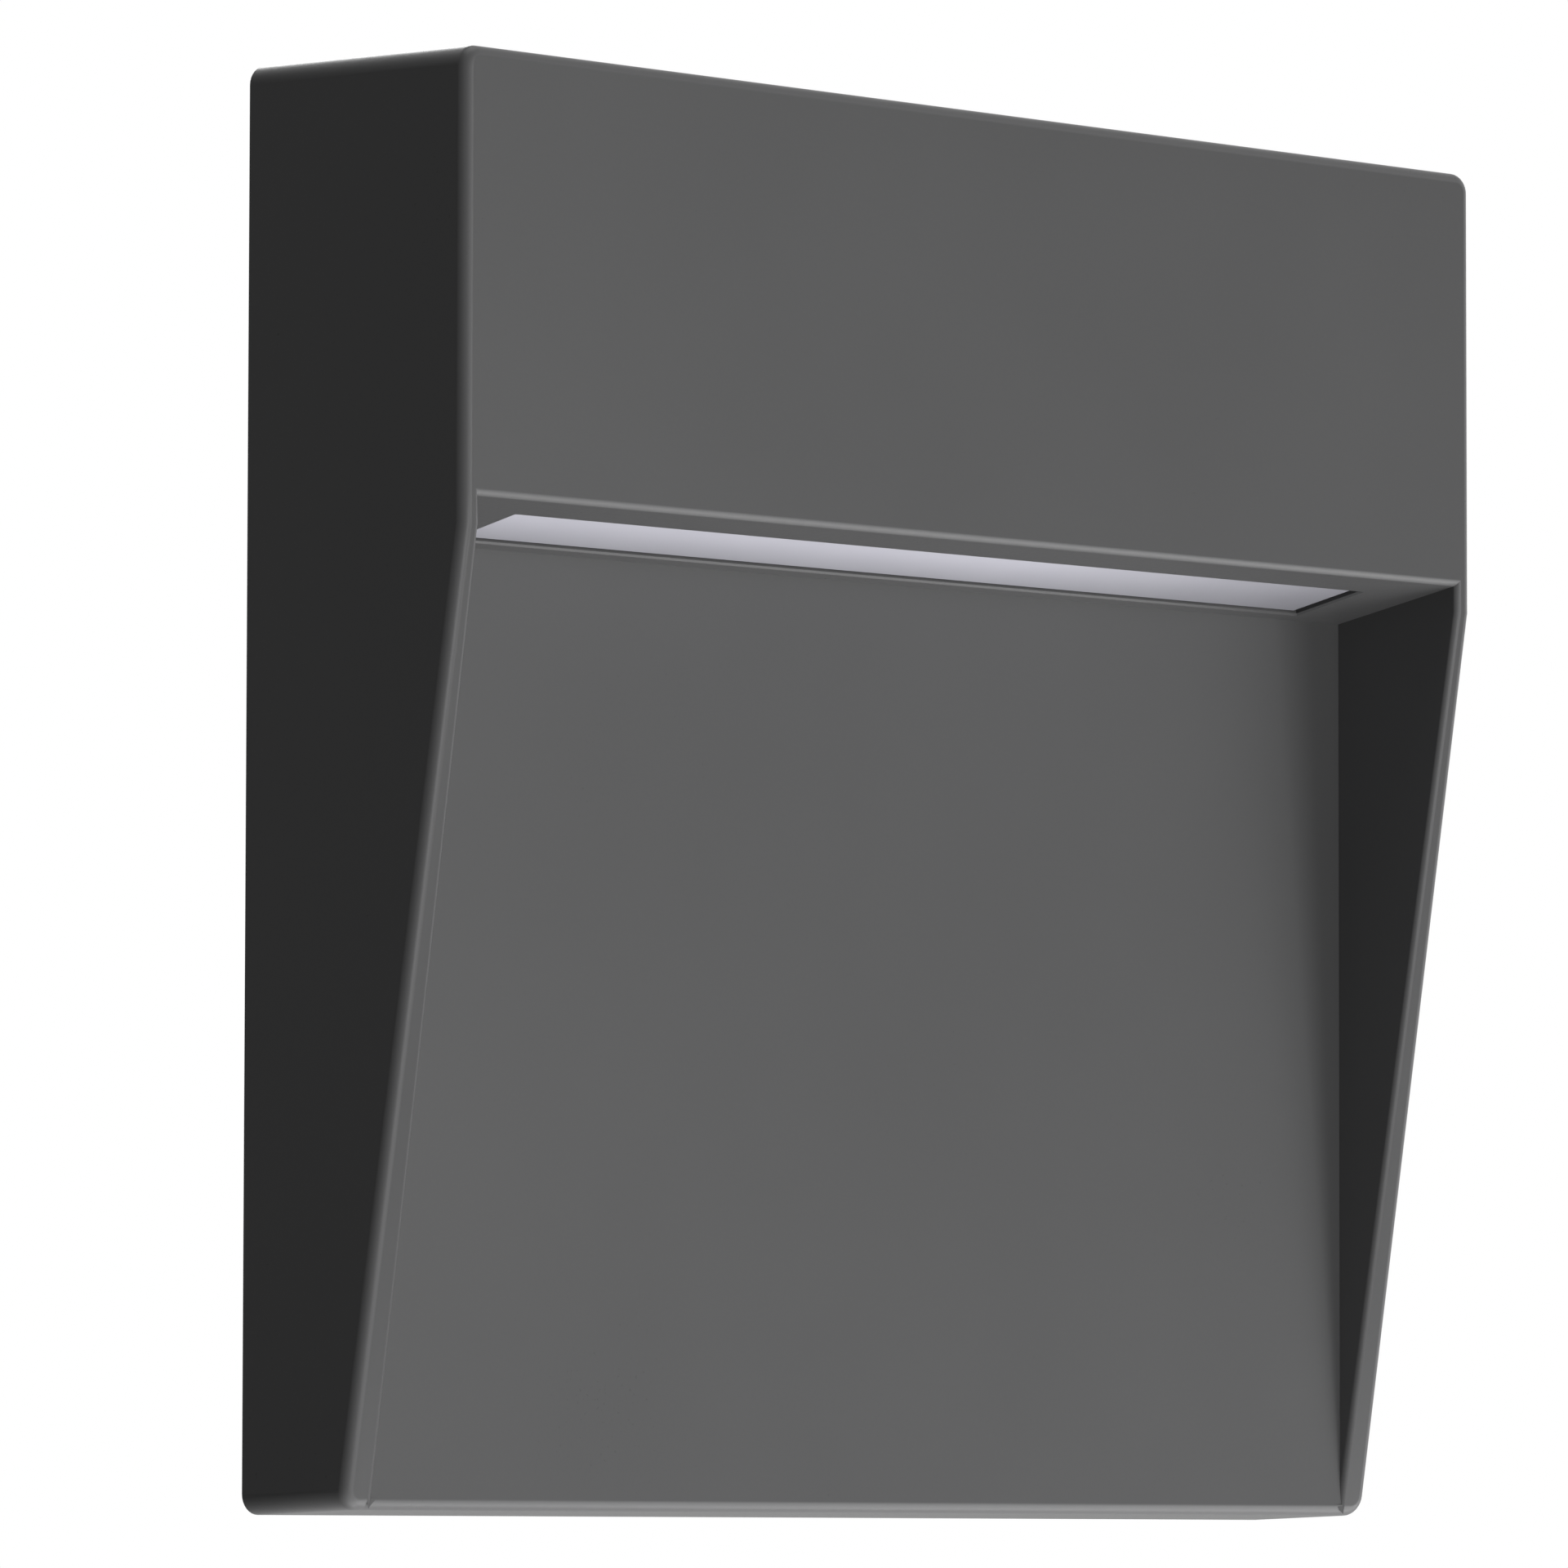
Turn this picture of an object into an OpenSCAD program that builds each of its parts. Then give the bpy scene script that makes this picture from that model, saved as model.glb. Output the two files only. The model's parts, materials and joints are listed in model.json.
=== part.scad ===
// Surface step light: a square die-cast hood that throws its light down a recessed panel.
// X runs to the right, the front faces -Y, the wall is the plane Y = 0 and Z points up.
// The origin is the centre of the wall face, midway between the two wall screws.

/* [Hood] */
// Width and height of the hood at the wall
body_w = 140; // [128:1:160]
// Depth of the hood from the wall to its front face
body_d = 30.6; // [29.5:0.1:36]
// Depth from the wall to the recessed panel, which is also the depth at the bottom edge
lower_d = 14.4; // [13.5:0.1:16]
// Height of the full-depth front face
face_h = 43.8; // [42:0.2:52]
// Height from the lip to where the side walls start to slope back
slope_drop = 2.8; // [1:0.1:6]
// Casting draft of the outside faces, in degrees
draft_a = 1.8; // [0.5:0.1:2.2]
// Angle of the underside behind the lip, in degrees
soffit_a = 10.8; // [6:0.2:14]
// Rounding of the edges that run from front to back
corner_r = 2.0; // [1:0.1:3]
// Rounding of the front edges
edge_r = 1.1; // [0.5:0.1:1.6]
// Rounding of the lip and of the inner edges of the side walls
lip_r = 0.6; // [0.3:0.1:0.9]
// Rounding where the panel meets the side walls and the underside
root_r = 0.5; // [0.2:0.1:1]

/* [Walls] */
// Thickness of the side walls at their front edge
side_t = 2.1; // [1.6:0.1:3]
// Draft of the inside of the side walls, in degrees
inner_draft_a = 3.4; // [1:0.2:5]
// Thickness of the front face
front_t = 2.6; // [2:0.1:3.5]
// Thickness of the underside that carries the lens
soffit_t = 3.0; // [2.4:0.1:3.6]
// Thickness of the recessed panel
panel_t = 2.4; // [2:0.1:3]
// Thickness of the rim round the back plate
rim_t = 2.8; // [2.2:0.1:3.5]
// Width of the ledge that the plate gasket seals on
ledge_w = 2.0; // [1.5:0.1:3]
// Height of the pads that the driver and the bracket are screwed to
pad_h = 3.0; // [2:0.1:3.4]
// Diameter of those pads
pad_d = 7.6; // [6.6:0.1:9]
// Thickness of the stiffening ribs behind the panel
rib_t = 1.6; // [1:0.1:2.5]
// Height of the stiffening ribs
rib_h = 1.2; // [0.6:0.1:1.4]

/* [Lens] */
// Length of the light slot
slot_l = 116; // [96:1:117]
// Width of the light slot
slot_w = 9.5; // [7:0.1:10]
// Distance from the lip to the light slot, along the underside
slot_s = 5.2; // [4.8:0.1:5.6]
// Depth of the lens behind the mouth of the slot
lens_recess = 0.35; // [0.1:0.05:1]
// Gap between the lens and each end of the slot
lens_end_gap = 0.6; // [0.2:0.1:1.5]
// How far the lens flange reaches past the slot
flange_w = 2.1; // [1.5:0.1:2.3]
// Thickness of the lens flange
flange_t = 1.8; // [1.2:0.1:2.4]
// Thickness of the lens gasket
seal_t = 0.8; // [0.5:0.1:1.2]

/* [Light source] */
// Height of the white light box over the lens flange
box_h = 6.8; // [5:0.2:7]
// Wall of the light box
box_t = 1.2; // [0.8:0.1:1.5]
// Thickness of the LED board
board_t = 1.2; // [0.8:0.1:1.6]
// Width of the LED board
board_w = 9.4; // [8:0.1:11]
// Number of LEDs
led_n = 18; // [8:1:18]
// Distance between LEDs
led_pitch = 5.9; // [4.5:0.1:5.9]
// Length, width and height of an LED
led_size = [2.8, 3.5, 0.75];
// Thickness of the thermal pad
thermal_t = 0.4; // [0.2:0.1:0.8]
// Thickness of the heat-spreading bracket
bracket_t = 2.0; // [1.2:0.1:2.4]
// Width of the two tabs that fix the bracket
tab_w = 12; // [9:0.5:13]

/* [Driver] */
// Length of the driver case
driver_l = 74; // [68:1:76]
// Height of the driver case
driver_h = 20; // [19:0.2:20.4]
// Depth of the driver case without its lid
driver_d = 18; // [17:0.2:19]
// Wall of the driver case
case_t = 1.4; // [1:0.1:2]
// Length of each fixing ear of the driver case
ear_l = 9; // [8:0.5:9.5]
// Thickness of the driver's circuit board
circuit_t = 1.6; // [1:0.1:2]

/* [Back plate] */
// Thickness of the back plate
plate_t = 2.2; // [2:0.1:3]
// Thickness of the gasket between plate and hood
gasket_t = 1.0; // [0.6:0.1:1.5]
// Distance between the two wall screws
wall_screw_span = 76; // [60:1:90]
// Width of the slots for the wall screws
wall_slot_w = 4.6; // [4.2:0.1:5.5]
// Length of the slots for the wall screws
wall_slot_l = 12; // [8:0.5:16]
// Width of the foam seal on the wall side
foam_w = 5; // [3:0.5:7]
// Depth of the groove for the foam seal
foam_t = 1.0; // [0.6:0.1:1.2]
// Diameter of the supply cable that the entry takes
cable_d = 6.8; // [6:0.1:8]
// Diameter of the cable entry hole in the plate
entry_d = 12; // [11:0.5:14]
// Distance of the two top fixing screws from the middle
lug_x = 56; // [54:0.5:57]
// Distance of the two bottom hooks from the middle
hook_x = 40; // [25:1:50]

/* [Wiring] */
// Distance between the poles of the terminal block
pole_pitch = 9; // [8.6:0.1:11]
// Length of the terminal block along the wires
terminal_l = 14; // [12:0.5:15]
// Height of the middle of the terminal block above the wall screws
terminal_z = 27; // [26:0.5:28]
// Height of the cable clamp above the wall screws
clamp_z = 13.2; // [12.6:0.2:14]
// Diameter of the mains leads
lead_d = 1.8; // [1.4:0.1:2]
// Diameter of the two LED leads
led_lead_d = 1.3; // [1:0.1:1.5]

/* [Fasteners] */
// Thread of the screws inside
screw_d = 3; // [2.6:0.1:3.2]
// Thread of the two screws that hold the hood to the plate
fix_d = 3; // [2.8:0.1:3.6]

/* [Hidden] */
$fn = 48;

// Clearances
fit_gap = 0.2;       // between a piece and the pocket it drops into
thread_gap = 0.05;   // round a screw in its hole, on the radius
pass_gap = 0.2;      // round a screw in a clearance hole, on the radius
tip_gap = 0.4;       // between the tip of a screw and the bottom of its hole
free_gap = 0.4;      // between pieces that pass each other
over = 1;            // how far a cut runs past the face it opens
arc_n = 8;           // steps in a rounded edge

// Outer faces
half_w = body_w / 2;
side_in = tan(draft_a) * body_d;          // how far the sides lean in at the front
lower_in = tan(draft_a) * lower_d;        // the same at the depth of the panel
lip_z = half_w - face_h;
slope_z = lip_z - slope_drop;
front_half = half_w - side_in - side_t;   // inside of the side walls at the front
panel_half = front_half - tan(inner_draft_a) * (body_d - lower_d);
foot_z = -half_w + lower_in;

// Points on the underside: s runs back from the lip, n stands up from the outer surface
function soffit(s, n) = [-body_d + s * cos(soffit_a) + n * sin(soffit_a),
                         lip_z - s * sin(soffit_a) + n * cos(soffit_a)];
function soffit_point(x, s, n) = [x, soffit(s, n)[0], soffit(s, n)[1]];
// Where the surface at height n meets the plane Y = y
function soffit_s(y, n) = (y + body_d - n * sin(soffit_a)) / cos(soffit_a);

// Cavity behind the hood
seat_y = -plate_t - gasket_t;             // the ledge for the plate gasket
seat_half = half_w - rim_t;
cavity_half = seat_half - ledge_w;
cavity_r = 3;
front_y = -body_d + front_t;              // inside of the front face
panel_y = -lower_d + panel_t;             // back of the recessed panel
pad_y = front_y + pad_h;                  // face of the screw pads

// Pan-head screws inside, and the blind holes that take them
head_d = screw_d * 1.9;
head_h = screw_d * 0.7;
skin = 1.2;                               // metal left under a hole in the casting
pad_hole = front_t + pad_h - skin;
boss_h = 2.4;                             // bosses on the back plate
boss_d = 6;
plate_skin = 0.6;                         // metal left under a hole in the plate
plate_hole = plate_t + boss_h - plate_skin;

// Stack over the lens, measured up from the outer surface of the underside
seal_n = soffit_t;
flange_n = seal_n + seal_t;
box_n = flange_n + flange_t;
led_n0 = box_n + box_h;
thermal_n = led_n0 + board_t;
bracket_n = thermal_n + thermal_t;
slot_mid = slot_s + slot_w / 2;
flange_share = 5 / 12;                    // of the room from the slot to the wall of the cavity
flange_half = slot_l / 2 + flange_share * (cavity_half - slot_l / 2);
flange_s0 = slot_s - flange_w;
flange_s1 = slot_s + slot_w + flange_w;
box_flange_t = 1.2;
box_mouth_half = slot_l / 2 - 1;          // half length of the light box at the lens
box_mouth_w = slot_w - 0.8;               // width of the light box at the lens
led_row_half = (led_n - 1) * led_pitch / 2 + led_size.x / 2;
box_top_half = led_row_half + 3.05;       // half length of the light box at the board
box_top_w = slot_w - 2.6;                 // width of the light box at the board
board_half = box_top_half + 4;
thermal_in = 1;                           // the thermal pad stops short of the board's ends

// Heat-spreading bracket
bracket_s1 = slot_mid + board_w / 2 + 1;
bracket_half = board_half;
tab_rise = 6.8;                           // from the heel of the bracket to its screws
tab_end = 4.6;                            // from a screw to the top of its tab
tab_x = bracket_half - tab_end;
tab_z = soffit(0, bracket_n)[1] + tab_rise;
tab_top = tab_z + tab_end;
tab_r = 0.8;
upstand_z = soffit(0, bracket_n)[1] + bracket_t + 0.4;

// Driver
driver_top = cavity_half - 0.6;
driver_z = driver_top - driver_h / 2;
driver_low = driver_top - driver_h;
case_end = driver_l / 2;
driver_back = pad_y + driver_d;
driver_r = 1.2;
ear_x = driver_l / 2 + ear_l / 2 + 0.4;
ear_t = 2;
ear_h = 10;
lid_t = 1.4;
lid_rim_h = 1.6;                          // rim of the lid inside the case
lid_rim_t = 1;
post_h = 1.6;
post_d = 3.2;
circuit_y = pad_y + case_t + post_h + circuit_t;   // back of the circuit board
circuit_l = driver_l - 2 * case_t - 1.2;
circuit_h = driver_h - 2 * case_t - 1.2;
board_end = circuit_l / 2;
board_side = circuit_h / 2;
transformer_x = 2;
transformer = [14, 9.6, 12];              // length, depth and height
// Each can by its place along the board, its diameter and its depth
cans = [[board_end - 16, 8, 10.5], [19 - board_end, 6.4, 9]];
// Each chip by its place along and across the board, its length, width and depth
chips = [[9 - board_end, board_side - 5, 5, 4, 1.6], [9 - board_end, 4.4 - board_side, 4, 3, 1.2],
    [transformer_x + transformer.x / 2 + 1, 3.4 - board_side, 3, 2, 1], [board_end - 8, 0, 2.4, 6, 4]];
output_z = [driver_z + 4, driver_z - 1];           // holes for the two LED leads
input_z = [driver_z + 3, driver_z - 3];            // holes for the two mains leads
lead_hole_y = circuit_y + 6;

// Places of the screw pads inside the front face
pads = [[tab_x, tab_z], [ear_x, driver_z]];

// Back plate
plate_half = seat_half - fit_gap;
plate_r = 3;
foam_half = plate_half - 5;
foam_gap = 0.1;                           // between the foam and the walls of its groove
foam_r = 1;
flange_d = entry_d + 5;                   // wall-side flange of the grommet
flange_h = 1.0;
nose_h = 3.4;                             // nose of the grommet inside the plate
nose_lip = 1.4;                           // how far the nose grips round the hole
fix_head_d = fix_d + 2.6;
fix_head_h = 2;
fix_seal_t = 0.6;
fix_len = 9;
fix_y = seat_y - fix_head_d / 2 - 1.2;    // axis of the fixing screws
fix_seat_z = half_w - fix_head_h - 0.6;   // underside of their heads, a little below the top
lug_w = 9;
lug_h = 8.6;
lug_top = cavity_half - 0.3;
lug_y = fix_y - fix_d / 2 - 2.5;          // front of the lugs
hook_w = 8;
hook_t = 1.6;
hook_y = panel_y + rib_h + free_gap;      // front of the hooks, clear of the ribs
catch_y = hook_y + hook_t + fit_gap;      // front of the catches on the hood's bottom wall
catch_w = 10;
catch_h = 2.8;
catch_t = 2;
hook_z = -cavity_half + catch_h + fit_gap;  // underside of the hooks' arms

// Terminal block and clamp
pole_n = 3;
pole_x = [for (i = [0 : pole_n - 1]) (i - (pole_n - 1) / 2) * pole_pitch];
barrel_w = 7.6;
barrel_d = 8.4;
web_d = 3;
web_in = 2;                               // the webs stop short of the barrels' ends
wire_y = -plate_t - 3.6;
insert_d = 5;
insert_in = 1;                            // the inserts stop short of the barrels' ends
insert_bore = lead_d + 1;
terminal_screw_d = 2.6;
terminal_screw_l = 4;
terminal_hole_d = terminal_screw_d + 0.8;
terminal_top = terminal_z + terminal_l / 2;
terminal_ear_l = 6.4;
terminal_ear_t = 2.2;
terminal_fix_x = pole_x[pole_n - 1] + barrel_w / 2 + terminal_ear_l / 2;
clamp_x = cable_d / 2 + 5.4;
clamp_end = 3;                            // from a clamp screw to the end of the clamp
clamp_t = 2;
clamp_w = 6;
clamp_y = -plate_t - cable_d / 2 - fit_gap;  // middle of the cable under the clamp

// Earth point behind the panel
earth_x = -40;
earth_z = 12;
earth_boss_h = 3.2;
earth_boss_d = 8;
earth_hole = panel_t + earth_boss_h - skin;
earth_y = panel_y + earth_boss_h;
tag_t = 0.8;
tag_d = 7;
tag_w = 2.8;
tag_x = earth_x + 5.4;                    // where the tag turns into its crimp barrel
crimp_l = 4;
crimp_t = 0.6;
washer_t = 0.7;
washer_d = 6;
tooth = [1, 0.8];                         // reach and width of a tooth of the washer

// Routes of the leads, in the air between plate, bracket and driver. The ones from the terminals go
// under the driver and up beside it, then through its wall and down to the circuit board.
hole_in = case_end - 2.8;
hole_out = case_end + 1;
drop_x = case_end - 4.6;
live_route = [[pole_x[2], wire_y, terminal_top - 3], [pole_x[2], wire_y, terminal_top + 2],
    [pole_x[2] + 3, wire_y - 0.8, terminal_top + 4.6], [18, wire_y - 2.2, driver_low - 4],
    [26, wire_y - 2.6, driver_low - 3.4], [case_end - 3, wire_y - 2.8, driver_low - 3.4],
    [case_end + 5, wire_y - 3.2, driver_low - 2.2], [case_end + 10, lead_hole_y + 4.8, driver_low + 1],
    [case_end + 11.6, lead_hole_y + 3.8, driver_low + 5.8],
    [case_end + 10, lead_hole_y + 2.4, input_z[0] - 2.2], [case_end + 6.4, lead_hole_y, input_z[0]],
    [hole_out, lead_hole_y, input_z[0]], [hole_in, lead_hole_y, input_z[0]],
    [drop_x, lead_hole_y - 1.8, input_z[0]], [drop_x, circuit_y, input_z[0]]];
neutral_route = [[pole_x[1], wire_y, terminal_top - 3], [pole_x[1], wire_y, terminal_top + 1.6],
    [pole_x[1] + 1.6, wire_y + 0.2, terminal_top + 4.2], [6, wire_y + 0.4, driver_low - 3.4],
    [14, wire_y + 0.8, driver_low - 2.6], [24, wire_y + 0.8, driver_low - 2.4],
    [case_end - 3, wire_y + 0.4, driver_low - 2], [case_end + 4, wire_y - 1.2, driver_low - 0.8],
    [case_end + 7.4, wire_y - 3.2, driver_low + 1.8], [case_end + 7.4, lead_hole_y + 2.4, driver_low + 4.8],
    [case_end + 5.4, lead_hole_y, input_z[1]], [hole_out, lead_hole_y, input_z[1]],
    [hole_in, lead_hole_y, input_z[1]], [drop_x, lead_hole_y - 1.8, input_z[1]],
    [drop_x, circuit_y, input_z[1]]];
tag_y = earth_y + tag_t / 2;
earth_route = [[pole_x[0], wire_y, terminal_top - 3], [pole_x[0], wire_y, terminal_top + 1.6],
    [pole_x[0] - 1.6, wire_y - 0.6, terminal_top + 4], [pole_x[0] - 6, wire_y - 1.2, terminal_top + 5.4],
    [pole_x[0] - 10, wire_y - 1.6, terminal_top + 3], [pole_x[0] - 13, wire_y - 2, terminal_top - 3],
    [tag_x + 11.2, tag_y + 0.2, earth_z + 12.6], [tag_x + 10, tag_y, earth_z + 6],
    [tag_x + 8.2, tag_y, earth_z + 1.6], [tag_x + crimp_l + 1.2, tag_y, earth_z],
    [tag_x + crimp_l, tag_y, earth_z], [tag_x + fit_gap, tag_y, earth_z]];
// The LED leads leave the driver's other end and go round the end of the bracket to the board
solder_x = -board_half + 1.1;
plus_route = [[-drop_x, circuit_y, output_z[0]], [-drop_x, lead_hole_y - 1.8, output_z[0]],
    [-hole_in, lead_hole_y, output_z[0]], [-hole_out, lead_hole_y, output_z[0]],
    [-case_end - 7, lead_hole_y - 0.2, output_z[0] - 1.2],
    [-case_end - 13, lead_hole_y - 0.6, output_z[0] - 4.6],
    [solder_x + 1.1, lead_hole_y - 1.6, lip_z + 23.4], [solder_x - 3.9, lead_hole_y - 3.2, lip_z + 18.8],
    [solder_x - 5.1, lead_hole_y - 4.6, lip_z + 14.4],
    soffit_point(solder_x - 4.8, 11.6, led_n0 - 3), soffit_point(solder_x - 2.2, 11.6, led_n0 - 4),
    soffit_point(solder_x, 11.6, led_n0 - 2.4), soffit_point(solder_x, 11.6, led_n0)];
minus_route = [[-drop_x, circuit_y, output_z[1]], [-drop_x, lead_hole_y - 1.8, output_z[1]],
    [-hole_in, lead_hole_y, output_z[1]], [-hole_out, lead_hole_y, output_z[1]],
    [-case_end - 6, lead_hole_y - 2, output_z[1] - 2], [-case_end - 11, lead_hole_y - 3.6, output_z[1] - 5],
    [solder_x + 5.5, lead_hole_y - 3, lip_z + 18.6], [solder_x - 0.1, lead_hole_y - 3.6, lip_z + 16.4],
    [solder_x - 4.1, lead_hole_y - 5.6, lip_z + 14.8],
    soffit_point(solder_x - 5.2, 8.6, led_n0 - 1), soffit_point(solder_x - 4.4, 8.4, led_n0 - 3.6),
    soffit_point(solder_x - 2.2, 8.4, led_n0 - 4), soffit_point(solder_x, 8.4, led_n0 - 2.4),
    soffit_point(solder_x, 8.4, led_n0)];

// Small vector helpers
function unit(v) = v / norm(v);
// Arc that rounds the corner p of a profile with radius r
function rounded_corner(before, p, after, r) =
    let (a = unit(before - p), b = unit(after - p),
         half = acos(a * b) / 2,
         c = p + unit(a + b) * r / sin(half),
         u = unit(p + a * r / tan(half) - c),
         v = unit(p + b * r / tan(half) - c),
         turn = 180 - 2 * half)
    [for (i = [0 : arc_n]) c + r * (sin(turn * (1 - i / arc_n)) * u + sin(turn * i / arc_n) * v) / sin(turn)];
// Profile with every corner rounded by its own radius, 0 for a sharp one
function rounded_profile(points, radii) =
    let (n = len(points))
    [for (i = [0 : n - 1]) each radii[i] == 0 ? [points[i]]
        : rounded_corner(points[(i + n - 1) % n], points[i], points[(i + 1) % n], radii[i])];
function square_points(hw, hh) = [[-hw, -hh], [hw, -hh], [hw, hh], [-hw, hh]];

// Profile drawn in Y and Z, run along X about the middle
module along_x(length) {
    rotate([90, 0, 90]) linear_extrude(length, center = true) children();
}
// Profile drawn in X and Z, run from Y = y to Y = y - depth
module along_y(y, depth) {
    translate([0, y, 0]) rotate([90, 0, 0]) linear_extrude(depth) children();
}
// Frame of the underside: X along the slot, Y back from the lip, Z up from the outer surface
module on_soffit() {
    translate([0, -body_d, lip_z]) rotate([-soffit_a, 0, 0]) children();
}
module both_sides() {
    children();
    mirror([1, 0, 0]) children();
}
module rounded_square(hw, hh, r) {
    polygon(rounded_profile(square_points(hw, hh), [r, r, r, r]));
}
// Box given by its ranges
module block(x, y, z) {
    translate([x[0], y[0], z[0]]) cube([x[1] - x[0], y[1] - y[0], z[1] - z[0]]);
}
// Cylinder along Y from y0 towards +Y
module rod_y(d, y0, length) {
    translate([0, y0, 0]) rotate([-90, 0, 0]) cylinder(d = d, h = length);
}
// What is cut away to round the edge from p to q between faces with outward normals na and nb
module edge_cut(p, q, na, nb, r) {
    ez = unit(q - p);
    ex = unit(na - (na * ez) * ez);
    ey = cross(ez, ex);
    turn = acos(na * nb);
    ta = unit((na * nb) * na - nb);
    tb = unit((na * nb) * nb - na);
    reach = r * tan(turn / 2);
    c = ta * reach - na * r;
    arc = [for (i = [0 : arc_n])
        c + r * (sin(turn * (1 - i / arc_n)) * na + sin(turn * i / arc_n) * nb) / sin(turn)];
    outer = [tb * reach + nb * over, (na + nb) * over, ta * reach + na * over];
    from = p - ez * over;
    multmatrix([[ex.x, ey.x, ez.x, from.x], [ex.y, ey.y, ez.y, from.y], [ex.z, ey.z, ez.z, from.z],
                [0, 0, 0, 1]])
        linear_extrude(norm(q - p) + 2 * over)
            polygon([for (v = concat(arc, outer)) [v * ex, v * ey]]);
}
// Screw along Z with its seat at Z = 0, its head above and its shank below
module pan_screw(d, length, hd, hh) {
    difference() {
        union() {
            translate([0, 0, -length]) cylinder(d = d, h = length);
            cylinder(d = hd, h = hh * 0.6);
            translate([0, 0, hh * 0.6]) cylinder(d1 = hd, d2 = hd * 0.6, h = hh * 0.4);
        }
        for (a = [0, 90])
            rotate(a) translate([-hd * 0.3, -hd * 0.06, hh * 0.45]) cube([hd * 0.6, hd * 0.12, hh]);
    }
}
module socket_screw(d, length, hd, hh) {
    difference() {
        union() {
            translate([0, 0, -length]) cylinder(d = d, h = length);
            cylinder(d = hd, h = hh);
        }
        translate([0, 0, hh * 0.3]) cylinder(d = hd * 0.5, h = hh, $fn = 6);
    }
}
// Turn what is drawn along Z to point to the back, or to the front
module facing_back() {
    rotate([-90, 0, 0]) children();
}
module facing_front() {
    rotate([90, 0, 0]) children();
}

// One ring of a swept tube: a square-on section at point i of the route
function route_tangent(route, i) =
    unit(route[min(i + 1, len(route) - 1)] - route[max(i - 1, 0)]);
function carried(u, t) = unit(u - (u * t) * t);
function route_sides(route, first, i) =
    i == 0 ? carried(first, route_tangent(route, 0))
           : carried(route_sides(route, first, i - 1), route_tangent(route, i));
// Tube along a route, as one closed skin of eight-sided rings
module lead(route, d, first = [1, 0, 0]) {
    sides = 8;
    n = len(route);
    points = [for (i = [0 : n - 1])
        let (t = route_tangent(route, i), u = route_sides(route, first, i), v = cross(t, u))
        for (k = [0 : sides - 1]) route[i] + d / 2 * (cos(45 * k) * u + sin(45 * k) * v)];
    walls = [for (i = [0 : n - 2], k = [0 : sides - 1])
        let (a = i * sides + k, b = i * sides + (k + 1) % sides)
        [a, a + sides, b + sides, b]];
    polyhedron(points,
        concat(walls, [[for (k = [0 : sides - 1]) k]],
               [[for (k = [sides - 1 : -1 : 0]) (n - 1) * sides + k]]), convexity = 6);
}

// Outside of the hood before the recess is cut: sides and top lean in by the draft
module hood_block() {
    intersection() {
        translate([0, 0, -body_w]) linear_extrude(2 * body_w)
            polygon(rounded_profile([[-half_w, 0], [-half_w + side_in, -body_d],
                                     [half_w - side_in, -body_d], [half_w, 0]], [0, edge_r, edge_r, 0]));
        along_x(2 * body_w)
            polygon(rounded_profile([[0, -half_w], [0, half_w], [-body_d, half_w - side_in],
                                     [-body_d, slope_z], [-lower_d, foot_z]],
                                    [0, 0, edge_r, 0, edge_r]));
    }
}
// The space under the lip, in front of the panel and between the side walls
module recess() {
    inner = soffit(soffit_s(-lower_d, 0), 0);
    lip = [-body_d, lip_z];
    mouth = panel_half + tan(inner_draft_a) * (2 * body_d - lower_d);
    intersection() {
        along_x(2 * body_w)
            polygon(concat([[-lower_d, -body_w]],
                           rounded_corner([-lower_d, -body_w], inner, lip, root_r),
                           rounded_corner(inner, lip, lip + [0, body_w], lip_r),
                           [[-2 * body_d, lip_z + lip_r], [-2 * body_d, -body_w]]));
        translate([0, 0, -body_w]) linear_extrude(2 * body_w)
            polygon(rounded_profile([[-mouth, -2 * body_d], [-panel_half, -lower_d],
                                     [panel_half, -lower_d], [mouth, -2 * body_d]], [0, root_r, root_r, 0]));
    }
}
module hood_corner_cuts() {
    side_n = unit([1, -tan(draft_a), 0]);
    slope_n = unit([0, foot_z - slope_z, lower_d - body_d]);
    inner_n = unit([-1, -tan(inner_draft_a), 0]);
    both_sides() {
        for (up = [-1, 1])
            edge_cut([half_w, 0, up * half_w], [half_w - side_in, -body_d, up * (half_w - side_in)],
                     side_n, unit([0, -tan(draft_a), up]), corner_r);
        edge_cut([half_w - side_in, -body_d, slope_z], [half_w - lower_in, -lower_d, foot_z],
                 side_n, slope_n, edge_r);
        edge_cut([front_half, -body_d, slope_z], [panel_half, -lower_d, foot_z],
                 slope_n, inner_n, lip_r);
    }
}
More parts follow.
